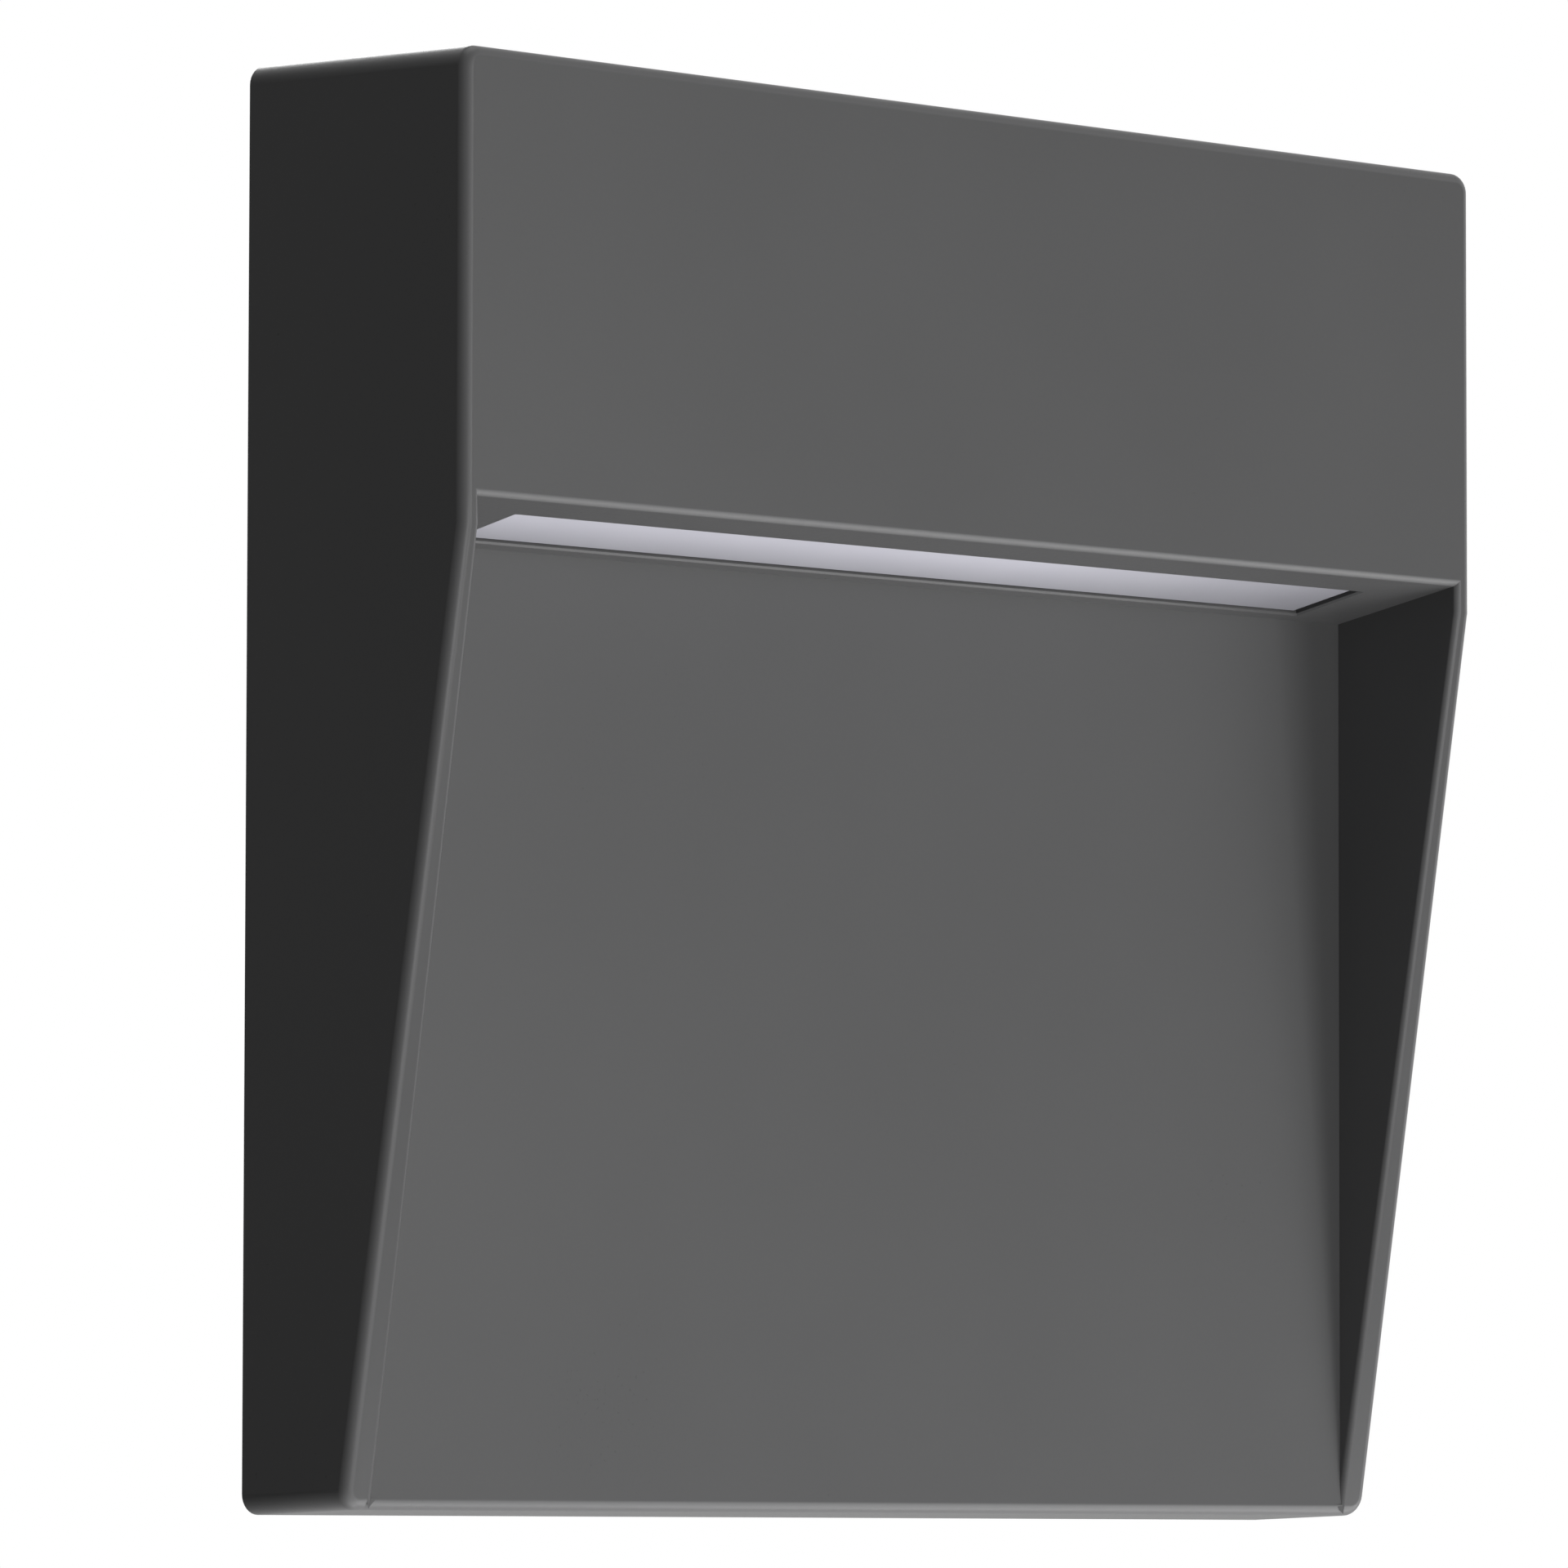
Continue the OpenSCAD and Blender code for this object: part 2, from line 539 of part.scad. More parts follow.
// The hollow that the works sit in, open at the back
module hood_cavity() {
    bend = soffit(soffit_s(front_y, soffit_t), soffit_t);
    knee = soffit(soffit_s(panel_y, soffit_t), soffit_t);
    intersection() {
        along_x(2 * body_w)
            polygon([[over, cavity_half], [front_y, cavity_half], bend, knee,
                     [panel_y, -cavity_half], [over, -cavity_half]]);
        along_y(over, body_d + over) rounded_square(cavity_half, cavity_half, cavity_r);
    }
    along_y(over, over - seat_y) rounded_square(seat_half, seat_half, plate_r);
}
module housing() color([0.11, 0.115, 0.125]) {
    difference() {
        union() {
            difference() {
                hood_block();
                recess();
                hood_corner_cuts();
                hood_cavity();
            }
            both_sides() {
                for (p = pads)
                    translate([p[0], 0, p[1]]) rod_y(pad_d, front_y, pad_h);
                // Rib behind the panel, and the catch for the hook of the back plate
                block([cavity_half / 2, cavity_half / 2 + rib_t], [panel_y, panel_y + rib_h],
                      [-cavity_half, soffit(0, 0)[1] - 8]);
                block([hook_x - catch_w / 2, hook_x + catch_w / 2], [catch_y, catch_y + catch_t],
                      [-cavity_half, -cavity_half + catch_h]);
            }
            block([-cavity_half, cavity_half], [panel_y, panel_y + rib_h], [-rib_t / 2, rib_t / 2]);
            translate([earth_x, 0, earth_z]) rod_y(earth_boss_d, panel_y, earth_boss_h);
        }
        // Light slot
        on_soffit() block([-slot_l / 2, slot_l / 2], [slot_s, slot_s + slot_w], [-over, soffit_t + over]);
        // Blind screw holes in the pads and in the earth boss
        both_sides()
            for (p = pads)
                translate([p[0], 0, p[1]]) rod_y(screw_d + 2 * thread_gap, pad_y - pad_hole, pad_hole + over);
        translate([earth_x, 0, earth_z])
            rod_y(screw_d + 2 * thread_gap, earth_y - earth_hole, earth_hole + over);
        // Stepped holes in the top for the fixing screws
        both_sides() {
            translate([lug_x, fix_y, cavity_half - over])
                cylinder(d = fix_d + 2 * pass_gap, h = half_w);
            translate([lug_x, fix_y, fix_seat_z - fix_seal_t])
                cylinder(d = fix_head_d + 2 * pass_gap, h = half_w);
        }
    }
}

// Frosted strip: a land that fills the slot and a flange that seals behind it
module lens() color([0.78, 0.78, 0.82]) on_soffit() {
    block([-slot_l / 2 + lens_end_gap, slot_l / 2 - lens_end_gap],
          [slot_s + fit_gap, slot_s + slot_w - fit_gap], [lens_recess, flange_n + flange_t / 2]);
    block([-flange_half, flange_half], [flange_s0, flange_s1], [flange_n, flange_n + flange_t]);
}
module lens_gasket() color([0.85, 0.85, 0.83]) on_soffit() {
    difference() {
        block([-flange_half, flange_half], [flange_s0, flange_s1], [seal_n, seal_n + seal_t]);
        block([-slot_l / 2, slot_l / 2], [slot_s, slot_s + slot_w], [seal_n - over, seal_n + seal_t + over]);
    }
}
// Tapered opening of the light box, drawn larger or smaller by grow
module box_taper(grow, z0, z1) {
    intersection() {
        translate([0, slot_mid, 0]) rotate([90, 0, 0]) linear_extrude(2 * slot_w, center = true)
            polygon([[-box_mouth_half - grow, z0], [box_mouth_half + grow, z0],
                     [box_top_half + grow, z1], [-box_top_half - grow, z1]]);
        rotate([90, 0, 90]) linear_extrude(2 * slot_l, center = true)
            polygon([[slot_mid - box_mouth_w / 2 - grow, z0], [slot_mid + box_mouth_w / 2 + grow, z0],
                     [slot_mid + box_top_w / 2 + grow, z1], [slot_mid - box_top_w / 2 - grow, z1]]);
    }
}
module light_box() color([0.93, 0.93, 0.92]) on_soffit() {
    difference() {
        union() {
            block([-flange_half, flange_half], [flange_s0, flange_s1], [box_n, box_n + box_flange_t]);
            box_taper(box_t, box_n, led_n0);
        }
        box_taper(0, box_n, led_n0);
    }
}
module led_board() color([0.9, 0.9, 0.88]) on_soffit() {
    block([-board_half, board_half], [slot_mid - board_w / 2, slot_mid + board_w / 2],
          [led_n0, led_n0 + board_t]);
}
module led_chips() color([0.95, 0.85, 0.35]) on_soffit() {
    for (i = [0 : led_n - 1])
        translate([(i - (led_n - 1) / 2) * led_pitch, slot_mid, led_n0 - led_size.z / 2])
            cube(led_size, center = true);
}
module thermal_pad() color([0.55, 0.6, 0.7]) on_soffit() {
    block([-board_half + thermal_in, board_half - thermal_in],
          [slot_mid - (board_w - thermal_in) / 2, slot_mid + (board_w - thermal_in) / 2],
          [thermal_n, thermal_n + thermal_t]);
}
// Bent strip: the sloping leg spreads the heat, the tabs stand against the pads
module led_bracket() color([0.72, 0.73, 0.75]) {
    heel = soffit(soffit_s(pad_y, bracket_n), bracket_n);
    toe = soffit(bracket_s1, bracket_n);
    toe_top = soffit(bracket_s1, bracket_n + bracket_t);
    bend = soffit(soffit_s(pad_y + bracket_t, bracket_n + bracket_t), bracket_n + bracket_t);
    difference() {
        union() {
            along_x(2 * bracket_half)
                polygon([heel, toe, toe_top, bend, [pad_y + bracket_t, upstand_z], [pad_y, upstand_z]]);
            both_sides()
                along_y(pad_y + bracket_t, bracket_t)
                    translate([tab_x, (upstand_z + tab_top) / 2])
                        rounded_square(tab_w / 2, (tab_top - upstand_z) / 2 + tab_r, tab_r);
        }
        both_sides()
            translate([tab_x, 0, tab_z]) rod_y(screw_d + 2 * pass_gap, pad_y - over, bracket_t + 2 * over);
    }
}
module bracket_screws() color([0.75, 0.75, 0.76])
    for (side = [-1, 1])
        translate([side * tab_x, pad_y + bracket_t, tab_z]) facing_back()
            pan_screw(screw_d, bracket_t + pad_hole - tip_gap, head_d, head_h);

// Driver: an open case with ears, closed by a lid from behind
module driver_shell() {
    along_y(driver_back, driver_d)
        translate([0, driver_z]) rounded_square(driver_l / 2, driver_h / 2, driver_r);
}
module driver_case() color([0.9, 0.9, 0.9]) {
    difference() {
        union() {
            driver_shell();
            both_sides()
                block([driver_l / 2 - case_t, driver_l / 2 + ear_l], [pad_y, pad_y + ear_t],
                      [driver_z - ear_h / 2, driver_z + ear_h / 2]);
        }
        block([-driver_l / 2 + case_t, driver_l / 2 - case_t], [pad_y + case_t, driver_back + over],
              [driver_z - driver_h / 2 + case_t, driver_z + driver_h / 2 - case_t]);
        both_sides()
            translate([ear_x, 0, driver_z])
                rod_y(screw_d + 2 * pass_gap, pad_y - over, ear_t + 2 * over);
        for (z = input_z)
            translate([driver_l / 2 - case_t - over, lead_hole_y, z]) rotate([0, 90, 0])
                cylinder(d = lead_d + 2 * fit_gap, h = case_t + 2 * over);
        for (z = output_z)
            translate([-driver_l / 2 - over, lead_hole_y, z]) rotate([0, 90, 0])
                cylinder(d = led_lead_d + 2 * fit_gap, h = case_t + 2 * over);
    }
    for (x = [-1, 1], z = [-1, 1])
        translate([x * (circuit_l / 2 - post_d), 0, driver_z + z * (circuit_h / 2 - post_d)])
            rod_y(post_d, pad_y + case_t, post_h);
}
module driver_lid() color([0.82, 0.82, 0.82]) {
    along_y(driver_back + lid_t, lid_t)
        translate([0, driver_z]) rounded_square(driver_l / 2, driver_h / 2, driver_r);
    hw = driver_l / 2 - case_t - fit_gap;
    hh = driver_h / 2 - case_t - fit_gap;
    difference() {
        block([-hw, hw], [driver_back - lid_rim_h, driver_back], [driver_z - hh, driver_z + hh]);
        block([-hw + lid_rim_t, hw - lid_rim_t], [driver_back - lid_rim_h - over, driver_back],
              [driver_z - hh + lid_rim_t, driver_z + hh - lid_rim_t]);
    }
}
module driver_board() color([0.1, 0.35, 0.2])
    block([-circuit_l / 2, circuit_l / 2], [circuit_y - circuit_t, circuit_y],
          [driver_z - circuit_h / 2, driver_z + circuit_h / 2]);
// Wound transformer: a ferrite frame round its bobbin
module driver_transformer() color([0.2, 0.2, 0.2]) {
    w = transformer.x;
    d = transformer.y;
    h = transformer.z;
    limb = 2.5;
    bobbin_t = 1.4;
    bobbin = [w / 2 - 1, h / 2 - 1];
    translate([transformer_x, circuit_y, driver_z]) {
        difference() {
            block([-w / 2, w / 2], [bobbin_t, d], [-h / 2, h / 2]);
            for (z = [-1, 1])
                translate([0, (d + bobbin_t) / 2, z * h / 4])
                    cube([w - 2 * limb, d - 2 * limb, h / 2 - limb / 2], center = true);
        }
        block([-bobbin.x, bobbin.x], [0, bobbin_t], [-bobbin.y, bobbin.y]);
    }
}
module driver_capacitors() color([0.12, 0.14, 0.3]) {
    crown = 0.6;
    for (c = cans)
        translate([c[0], circuit_y, driver_z]) facing_back() {
            cylinder(d = c[1], h = c[2] - crown);
            translate([0, 0, c[2] - crown]) cylinder(d1 = c[1], d2 = c[1] - crown, h = crown);
        }
}
module driver_chips() color([0.08, 0.08, 0.09])
    for (c = chips)
        translate([c[0] - c[2] / 2, circuit_y, driver_z + c[1] - c[3] / 2]) cube([c[2], c[4], c[3]]);
module driver_screws() color([0.75, 0.75, 0.76])
    for (side = [-1, 1])
        translate([side * ear_x, pad_y + ear_t, driver_z]) facing_back()
            pan_screw(screw_d, ear_t + pad_hole - tip_gap, head_d, head_h);

// Back plate: stays on the wall, the hood hangs on its hooks and is screwed to its lugs
module wall_slot() {
    reach = (wall_slot_l - wall_slot_w) / 2;
    for (dx = [-reach, reach])
        translate([dx, 0, 0]) rod_y(wall_slot_w, -plate_t - over, plate_t + 2 * over);
    block([-reach, reach], [-plate_t - over, over], [-wall_slot_w / 2, wall_slot_w / 2]);
}
module back_plate() color([0.68, 0.69, 0.71]) {
    difference() {
        union() {
            along_y(0, plate_t) rounded_square(plate_half, plate_half, plate_r - fit_gap);
            both_sides() {
                // Threaded lug at the top
                block([lug_x - lug_w / 2, lug_x + lug_w / 2], [lug_y, -plate_t],
                      [lug_top - lug_h, lug_top]);
                // Hook at the bottom, which grips in front of the catch
                block([hook_x - hook_w / 2, hook_x + hook_w / 2], [hook_y, -plate_t],
                      [hook_z, hook_z + hook_t]);
                block([hook_x - hook_w / 2, hook_x + hook_w / 2], [hook_y, hook_y + hook_t],
                      [-cavity_half + free_gap, hook_z]);
                for (p = [[clamp_x, clamp_z], [terminal_fix_x, terminal_z]])
                    translate([p[0], 0, p[1]]) rod_y(boss_d, -plate_t - boss_h, boss_h);
            }
        }
        // Groove for the foam seal
        difference() {
            along_y(over, foam_t + over) rounded_square(foam_half, foam_half, plate_r);
            along_y(2 * over, foam_t + 3 * over)
                rounded_square(foam_half - foam_w, foam_half - foam_w, foam_r);
        }
        for (side = [-1, 1])
            translate([side * wall_screw_span / 2, 0, 0]) wall_slot();
        // Stepped hole for the grommet
        rod_y(entry_d, -plate_t - over, plate_t + 2 * over);
        rod_y(flange_d + 2 * fit_gap, -flange_h, flange_h + over);
        both_sides() {
            translate([lug_x, fix_y, lug_top - lug_h - over])
                cylinder(d = fix_d + 2 * thread_gap, h = lug_h + 2 * over);
            for (p = [[clamp_x, clamp_z], [terminal_fix_x, terminal_z]])
                translate([p[0], 0, p[1]])
                    rod_y(screw_d + 2 * thread_gap, -plate_t - boss_h - over, plate_hole + over);
        }
    }
}
// Silicone ring between the plate and the ledge of the hood
module plate_gasket() color([0.2, 0.2, 0.21]) {
    difference() {
        along_y(-plate_t, gasket_t) rounded_square(plate_half, plate_half, plate_r - fit_gap);
        along_y(-plate_t + over, gasket_t + 2 * over)
            rounded_square(cavity_half, cavity_half, cavity_r);
    }
}
module wall_seal() color([0.12, 0.12, 0.12]) {
    outer = foam_half - foam_gap;
    inner = foam_half - foam_w + foam_gap;
    difference() {
        along_y(0, foam_t) rounded_square(outer, outer, plate_r);
        along_y(over, foam_t + 2 * over) rounded_square(inner, inner, foam_r);
    }
}
// Rubber grommet with a groove that snaps into the plate and a nose that grips the cable
module cable_grommet() color([0.1, 0.1, 0.1])
    facing_back() rotate_extrude()
        polygon([[cable_d / 2, 0], [flange_d / 2, 0], [flange_d / 2, -flange_h],
                 [entry_d / 2 - thread_gap, -flange_h], [entry_d / 2 - thread_gap, -plate_t],
                 [entry_d / 2 + nose_lip, -plate_t], [entry_d / 2 + nose_lip / 3, -plate_t - nose_h / 3],
                 [cable_d / 2 + 1, -plate_t - nose_h], [cable_d / 2, -plate_t - nose_h]]);
// Saddle that holds the cable's sheath
module cable_clamp() color([0.88, 0.88, 0.86]) {
    seat = -plate_t - boss_h;
    difference() {
        translate([0, 0, clamp_z - clamp_w / 2]) linear_extrude(clamp_w) difference() {
            union() {
                translate([-clamp_x - clamp_end, seat - clamp_t])
                    square([2 * (clamp_x + clamp_end), clamp_t]);
                translate([0, clamp_y]) circle(d = cable_d + 2 * clamp_t);
            }
            translate([0, clamp_y]) circle(d = cable_d);
            translate([-cable_d / 2, clamp_y]) square([cable_d, cable_d]);
            translate([-clamp_x, seat]) square([2 * clamp_x, cable_d * 2]);
        }
        both_sides()
            translate([clamp_x, 0, clamp_z])
                rod_y(screw_d + 2 * pass_gap, seat - clamp_t - over, clamp_t + 2 * over);
    }
}
module clamp_screws() color([0.75, 0.75, 0.76])
    for (side = [-1, 1])
        translate([side * clamp_x, -plate_t - boss_h - clamp_t, clamp_z]) facing_front()
            pan_screw(screw_d, clamp_t + plate_hole - tip_gap, head_d, head_h);

// Terminal block: three barrels joined by low webs, with an ear at each end and a brass insert in each
module terminal_block() color([0.9, 0.9, 0.88]) {
    difference() {
        union() {
            for (x = pole_x)
                translate([x, 0, 0])
                    block([-barrel_w / 2, barrel_w / 2], [-plate_t - barrel_d, -plate_t],
                          [terminal_z - terminal_l / 2, terminal_top]);
            block([pole_x[0], pole_x[pole_n - 1]], [-plate_t - web_d, -plate_t],
                  [terminal_z - terminal_l / 2 + web_in, terminal_top - web_in]);
            ear = terminal_fix_x + terminal_ear_l / 2;
            block([-ear, ear], [-plate_t - boss_h - terminal_ear_t, -plate_t - boss_h],
                  [terminal_z - terminal_ear_l / 2, terminal_z + terminal_ear_l / 2]);
        }
        for (x = pole_x) {
            translate([x, wire_y, terminal_z - terminal_l / 2 - over])
                cylinder(d = insert_d + 2 * thread_gap, h = terminal_l + 2 * over);
            for (z = [-1, 1])
                translate([x, 0, terminal_z + z * terminal_l / 4])
                    rod_y(terminal_hole_d, -plate_t - barrel_d - over, barrel_d / 2 + over);
        }
        both_sides()
            translate([terminal_fix_x, 0, terminal_z])
                rod_y(screw_d + 2 * pass_gap, -plate_t - boss_h - terminal_ear_t - over,
                      terminal_ear_t + 2 * over);
    }
}
module terminal_inserts() color([0.78, 0.62, 0.3])
    for (x = pole_x)
        difference() {
            translate([x, wire_y, terminal_z - terminal_l / 2 + insert_in])
                cylinder(d = insert_d, h = terminal_l - 2 * insert_in);
            translate([x, wire_y, terminal_z - terminal_l / 2])
                cylinder(d = insert_bore, h = terminal_l);
            for (z = [-1, 1])
                translate([x, 0, terminal_z + z * terminal_l / 4])
                    rod_y(terminal_screw_d + 2 * thread_gap, wire_y - insert_d, insert_d);
        }
module terminal_screws() color([0.8, 0.8, 0.8]) {
    tip = wire_y - lead_d / 2 - thread_gap;
    slot_deep = 0.7;
    slot_wide = 0.5;
    for (x = pole_x, z = [-1, 1])
        translate([x, tip - terminal_screw_l, terminal_z + z * terminal_l / 4]) difference() {
            facing_back() cylinder(d = terminal_screw_d, h = terminal_screw_l);
            translate([-terminal_screw_d, -over, -slot_wide / 2])
                cube([2 * terminal_screw_d, over + slot_deep, slot_wide]);
        }
}
module terminal_fixings() color([0.75, 0.75, 0.76])
    for (side = [-1, 1])
        translate([side * terminal_fix_x, -plate_t - boss_h - terminal_ear_t, terminal_z]) facing_front()
            pan_screw(screw_d, terminal_ear_t + plate_hole - tip_gap, head_d, head_h);

module live_lead() color([0.36, 0.2, 0.1]) lead(live_route, lead_d);
module neutral_lead() color([0.1, 0.25, 0.6]) lead(neutral_route, lead_d);
module earth_lead() color([0.35, 0.6, 0.15]) lead(earth_route, lead_d);
module led_lead_plus() color([0.7, 0.08, 0.06]) lead(plus_route, led_lead_d, [0, 0, 1]);
module led_lead_minus() color([0.06, 0.06, 0.07]) lead(minus_route, led_lead_d, [0, 0, 1]);

// Earth point: ring tag crimped to its lead, serrated washer and screw on the boss behind the panel
module earth_tag() color([0.8, 0.8, 0.82])
    difference() {
        union() {
            translate([earth_x, 0, earth_z]) rod_y(tag_d, earth_y, tag_t);
            block([earth_x, tag_x + crimp_t], [earth_y, earth_y + tag_t],
                  [earth_z - tag_w / 2, earth_z + tag_w / 2]);
            translate([tag_x, earth_y + tag_t / 2, earth_z]) rotate([0, 90, 0])
                cylinder(d = lead_d + 2 * crimp_t, h = crimp_l);
        }
        translate([earth_x, 0, earth_z]) rod_y(screw_d + 2 * pass_gap, earth_y - over, tag_t + 2 * over);
        translate([tag_x + thread_gap, earth_y + tag_t / 2, earth_z]) rotate([0, 90, 0])
            cylinder(d = lead_d + 2 * thread_gap, h = crimp_l + over);
    }
module earth_washer() color([0.7, 0.7, 0.72])
    translate([earth_x, 0, earth_z]) difference() {
        union() {
            rod_y(washer_d, earth_y + tag_t, washer_t);
            for (a = [0 : 30 : 330])
                rotate([0, a, 0])
                    block([washer_d / 2 - tooth[0], washer_d / 2 + tooth[0] / 2],
                          [earth_y + tag_t, earth_y + tag_t + washer_t], [-tooth[1] / 2, tooth[1] / 2]);
        }
        rod_y(screw_d + 2 * pass_gap, earth_y + tag_t - over, washer_t + 2 * over);
    }
module earth_screw() color([0.78, 0.72, 0.5])
    translate([earth_x, earth_y + tag_t + washer_t, earth_z]) facing_back()
        pan_screw(screw_d, tag_t + washer_t + earth_hole - tip_gap, head_d, head_h);

// Screws through the top of the hood into the lugs, each on a seal in its stepped hole
module fixing_screws() color([0.6, 0.6, 0.62])
    for (side = [-1, 1])
        translate([side * lug_x, fix_y, fix_seat_z])
            socket_screw(fix_d, fix_len, fix_head_d, fix_head_h);
module fixing_seals() color([0.08, 0.08, 0.08])
    for (side = [-1, 1])
        translate([side * lug_x, fix_y, fix_seat_z - fix_seal_t]) difference() {
            cylinder(d = fix_head_d, h = fix_seal_t);
            translate([0, 0, -over]) cylinder(d = fix_d + 2 * thread_gap, h = fix_seal_t + 2 * over);
        }

housing();
lens();
lens_gasket();
light_box();
led_board();
led_chips();
thermal_pad();
led_bracket();
bracket_screws();
driver_case();
driver_lid();
driver_board();
driver_transformer();
driver_capacitors();
driver_chips();
driver_screws();
back_plate();
plate_gasket();
wall_seal();
cable_grommet();
cable_clamp();
clamp_screws();
terminal_block();
terminal_inserts();
terminal_screws();
terminal_fixings();
live_lead();
neutral_lead();
earth_lead();
earth_tag();
earth_washer();
earth_screw();
led_lead_plus();
led_lead_minus();
fixing_screws();
fixing_seals();
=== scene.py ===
"""Surface step light: finishes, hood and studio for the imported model.

Lengths are metres in the light's own frame: X to the right, the front faces -Y, the wall is the
plane Y = 0 and Z points up.
"""
import json
import math

import bmesh
import bpy
from mathutils import Matrix, Vector


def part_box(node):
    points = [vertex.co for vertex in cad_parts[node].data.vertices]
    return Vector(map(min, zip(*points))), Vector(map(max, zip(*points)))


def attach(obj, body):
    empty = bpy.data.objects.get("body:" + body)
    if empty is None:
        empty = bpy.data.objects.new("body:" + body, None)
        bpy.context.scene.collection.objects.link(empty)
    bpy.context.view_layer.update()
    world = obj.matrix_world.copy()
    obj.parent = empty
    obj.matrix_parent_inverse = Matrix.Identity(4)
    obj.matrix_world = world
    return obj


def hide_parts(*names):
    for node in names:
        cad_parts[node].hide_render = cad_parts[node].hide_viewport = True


bl_info = {
    "name": "Step light",
    "version": (1, 0, 0),
    "blender": (4, 5, 0),
    "location": "View3D > Sidebar > Step light",
    "description": "Builds a square die-cast step light with its works, and a studio to show it in",
    "category": "Add Mesh",
}

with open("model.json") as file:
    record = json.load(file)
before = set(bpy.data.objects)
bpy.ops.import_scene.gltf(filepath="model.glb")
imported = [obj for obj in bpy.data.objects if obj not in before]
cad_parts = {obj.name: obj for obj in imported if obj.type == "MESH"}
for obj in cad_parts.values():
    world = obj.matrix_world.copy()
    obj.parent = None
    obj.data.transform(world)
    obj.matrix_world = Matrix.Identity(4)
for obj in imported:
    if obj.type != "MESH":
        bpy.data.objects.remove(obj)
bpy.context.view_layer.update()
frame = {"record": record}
HOOD_LOW, HOOD_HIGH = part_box("housing")
FRONT_MIDDLE = (0.0, HOOD_LOW.y, 0.0)
WALL_MIDDLE = (0.0, 0.0, 0.0)
FACING_BACK = Matrix.Rotation(math.radians(-90), 4, "X")
FACING_FRONT = Matrix.Rotation(math.radians(90), 4, "X")

MM = 0.001
NEAR = 0.01 * MM                    # points nearer to each other than this count as one
CUT_REACH = 0.0001 * MM             # points nearer to a cut's plane than this lie on it
SAME_WAY = 0.02                     # most that the normals of parallel faces differ by
STRAIGHT = 0.999                    # least share of an axis in the normal of a face across it
FLAT_EDGE = 0.0001                  # angle below which an edge divides one flat face
SHARP = math.radians(30)            # edges that turn by more than this stay sharp
HOOD_SHARP = math.radians(32)       # the same in the hood
SOFT_EDGE = 0.3 * MM                # rounding of bosses, ribs, catches and screw heads
SOFT_STEPS = 3                      # faces across that rounding
ROUND_STEPS = 32                    # sides of a hole, a boss or a shank
MIX_FIRST, MIX_SECOND, MIX_RESULT = 6, 7, 2     # sockets of a Mix node for colours


class Shade:
    """One socket of a material, the world or a node group. Sums with it add Math nodes."""

    def __init__(self, tree, socket=None):
        self.tree = tree
        self.socket = socket

    def node(self, kind, settings=None, values=None, out=0):
        """Add a node: its settings first, then the values or links of its sockets."""
        made = self.tree.nodes.new(kind)
        for name, value in (settings or {}).items():
            if name == "stops":
                for element, (place, tone) in zip(made.color_ramp.elements, value):
                    element.position = place
                    element.color = (tone, tone, tone, 1.0)
            else:
                setattr(made, name, value)
        for key, value in (values or {}).items():
            if isinstance(value, Shade):
                self.tree.links.new(value.socket, made.inputs[key])
            else:
                made.inputs[key].default_value = value
        return Shade(self.tree, made.outputs[out] if made.outputs else None)

    def maths(self, operation, *values):
        return self.node("ShaderNodeMath", {"operation": operation}, dict(enumerate(values)))

    def __add__(self, other):
        return self.maths("ADD", self, other)

    def __radd__(self, other):
        return self.maths("ADD", other, self)

    def __sub__(self, other):
        return self.maths("SUBTRACT", self, other)

    def __rsub__(self, other):
        return self.maths("SUBTRACT", other, self)

    def __mul__(self, other):
        return self.maths("MULTIPLY", self, other)

    def __rmul__(self, other):
        return self.maths("MULTIPLY", other, self)

    def place(self):
        """Object coordinates, which are metres in the light's frame"""
        return self.node("ShaderNodeTexCoord", out="Object")

    def axis(self, name):
        return self.node("ShaderNodeSeparateXYZ", values={0: self.place()}, out=name)

    def share(self, name, low, high):
        """0 where this coordinate is low, 1 where it is high"""
        values = {"Value": self.axis(name), "From Min": low, "From Max": high}
        return self.node("ShaderNodeMapRange", values=values)

    def noise(self, size, detail, stretch=(1.0, 1.0, 1.0)):
        """Noise whose grain is about this size in metres"""
        spot = self.node("ShaderNodeMapping", values={"Vector": self.place(), "Scale": stretch})
        values = {"Vector": spot, "Scale": 1 / size, "Detail": detail}
        return self.node("ShaderNodeTexNoise", values=values)

    def cells(self, size):
        """Round cells about this size in metres"""
        values = {"Vector": self.place(), "Scale": 1 / size}
        return self.node("ShaderNodeTexVoronoi", values=values)

    def ramp(self, value, *stops):
        """Two stops, each a place and a grey"""
        return self.node("ShaderNodeValToRGB", {"stops": stops}, {"Fac": value})

    def mix(self, share, first, second):
        """Colour that goes from the first to the second as share goes from 0 to 1"""
        values = {"Factor": share, MIX_FIRST: colour(first), MIX_SECOND: colour(second)}
        return self.node("ShaderNodeMix", {"data_type": "RGBA"}, values, MIX_RESULT)

    def bump(self, height, depth, strength):
        values = {"Height": height, "Distance": depth, "Strength": strength}
        return self.node("ShaderNodeBump", values=values)


def colour(value):
    """A colour as a socket wants it"""
    return value if isinstance(value, Shade) else (*value[:3], 1.0)


def tint(base, share):
    """The colour made lighter, or darker with a share below 1"""
    return tuple(min(1.0, channel * share) for channel in base[:3])


def make_material(name, finish, *options):
    """A material from a finish, which returns what goes into the shader's sockets"""
    made = bpy.data.materials.new(name)
    made.use_nodes = True
    tree = made.node_tree
    shader = tree.nodes["Principled BSDF"]
    for key, value in finish(Shade(tree), *options).items():
        if isinstance(value, Shade):
            tree.links.new(value.socket, shader.inputs[key])
        else:
            shader.inputs[key].default_value = colour(value) if isinstance(value, tuple) else value
    return made


# Finishes of the outside

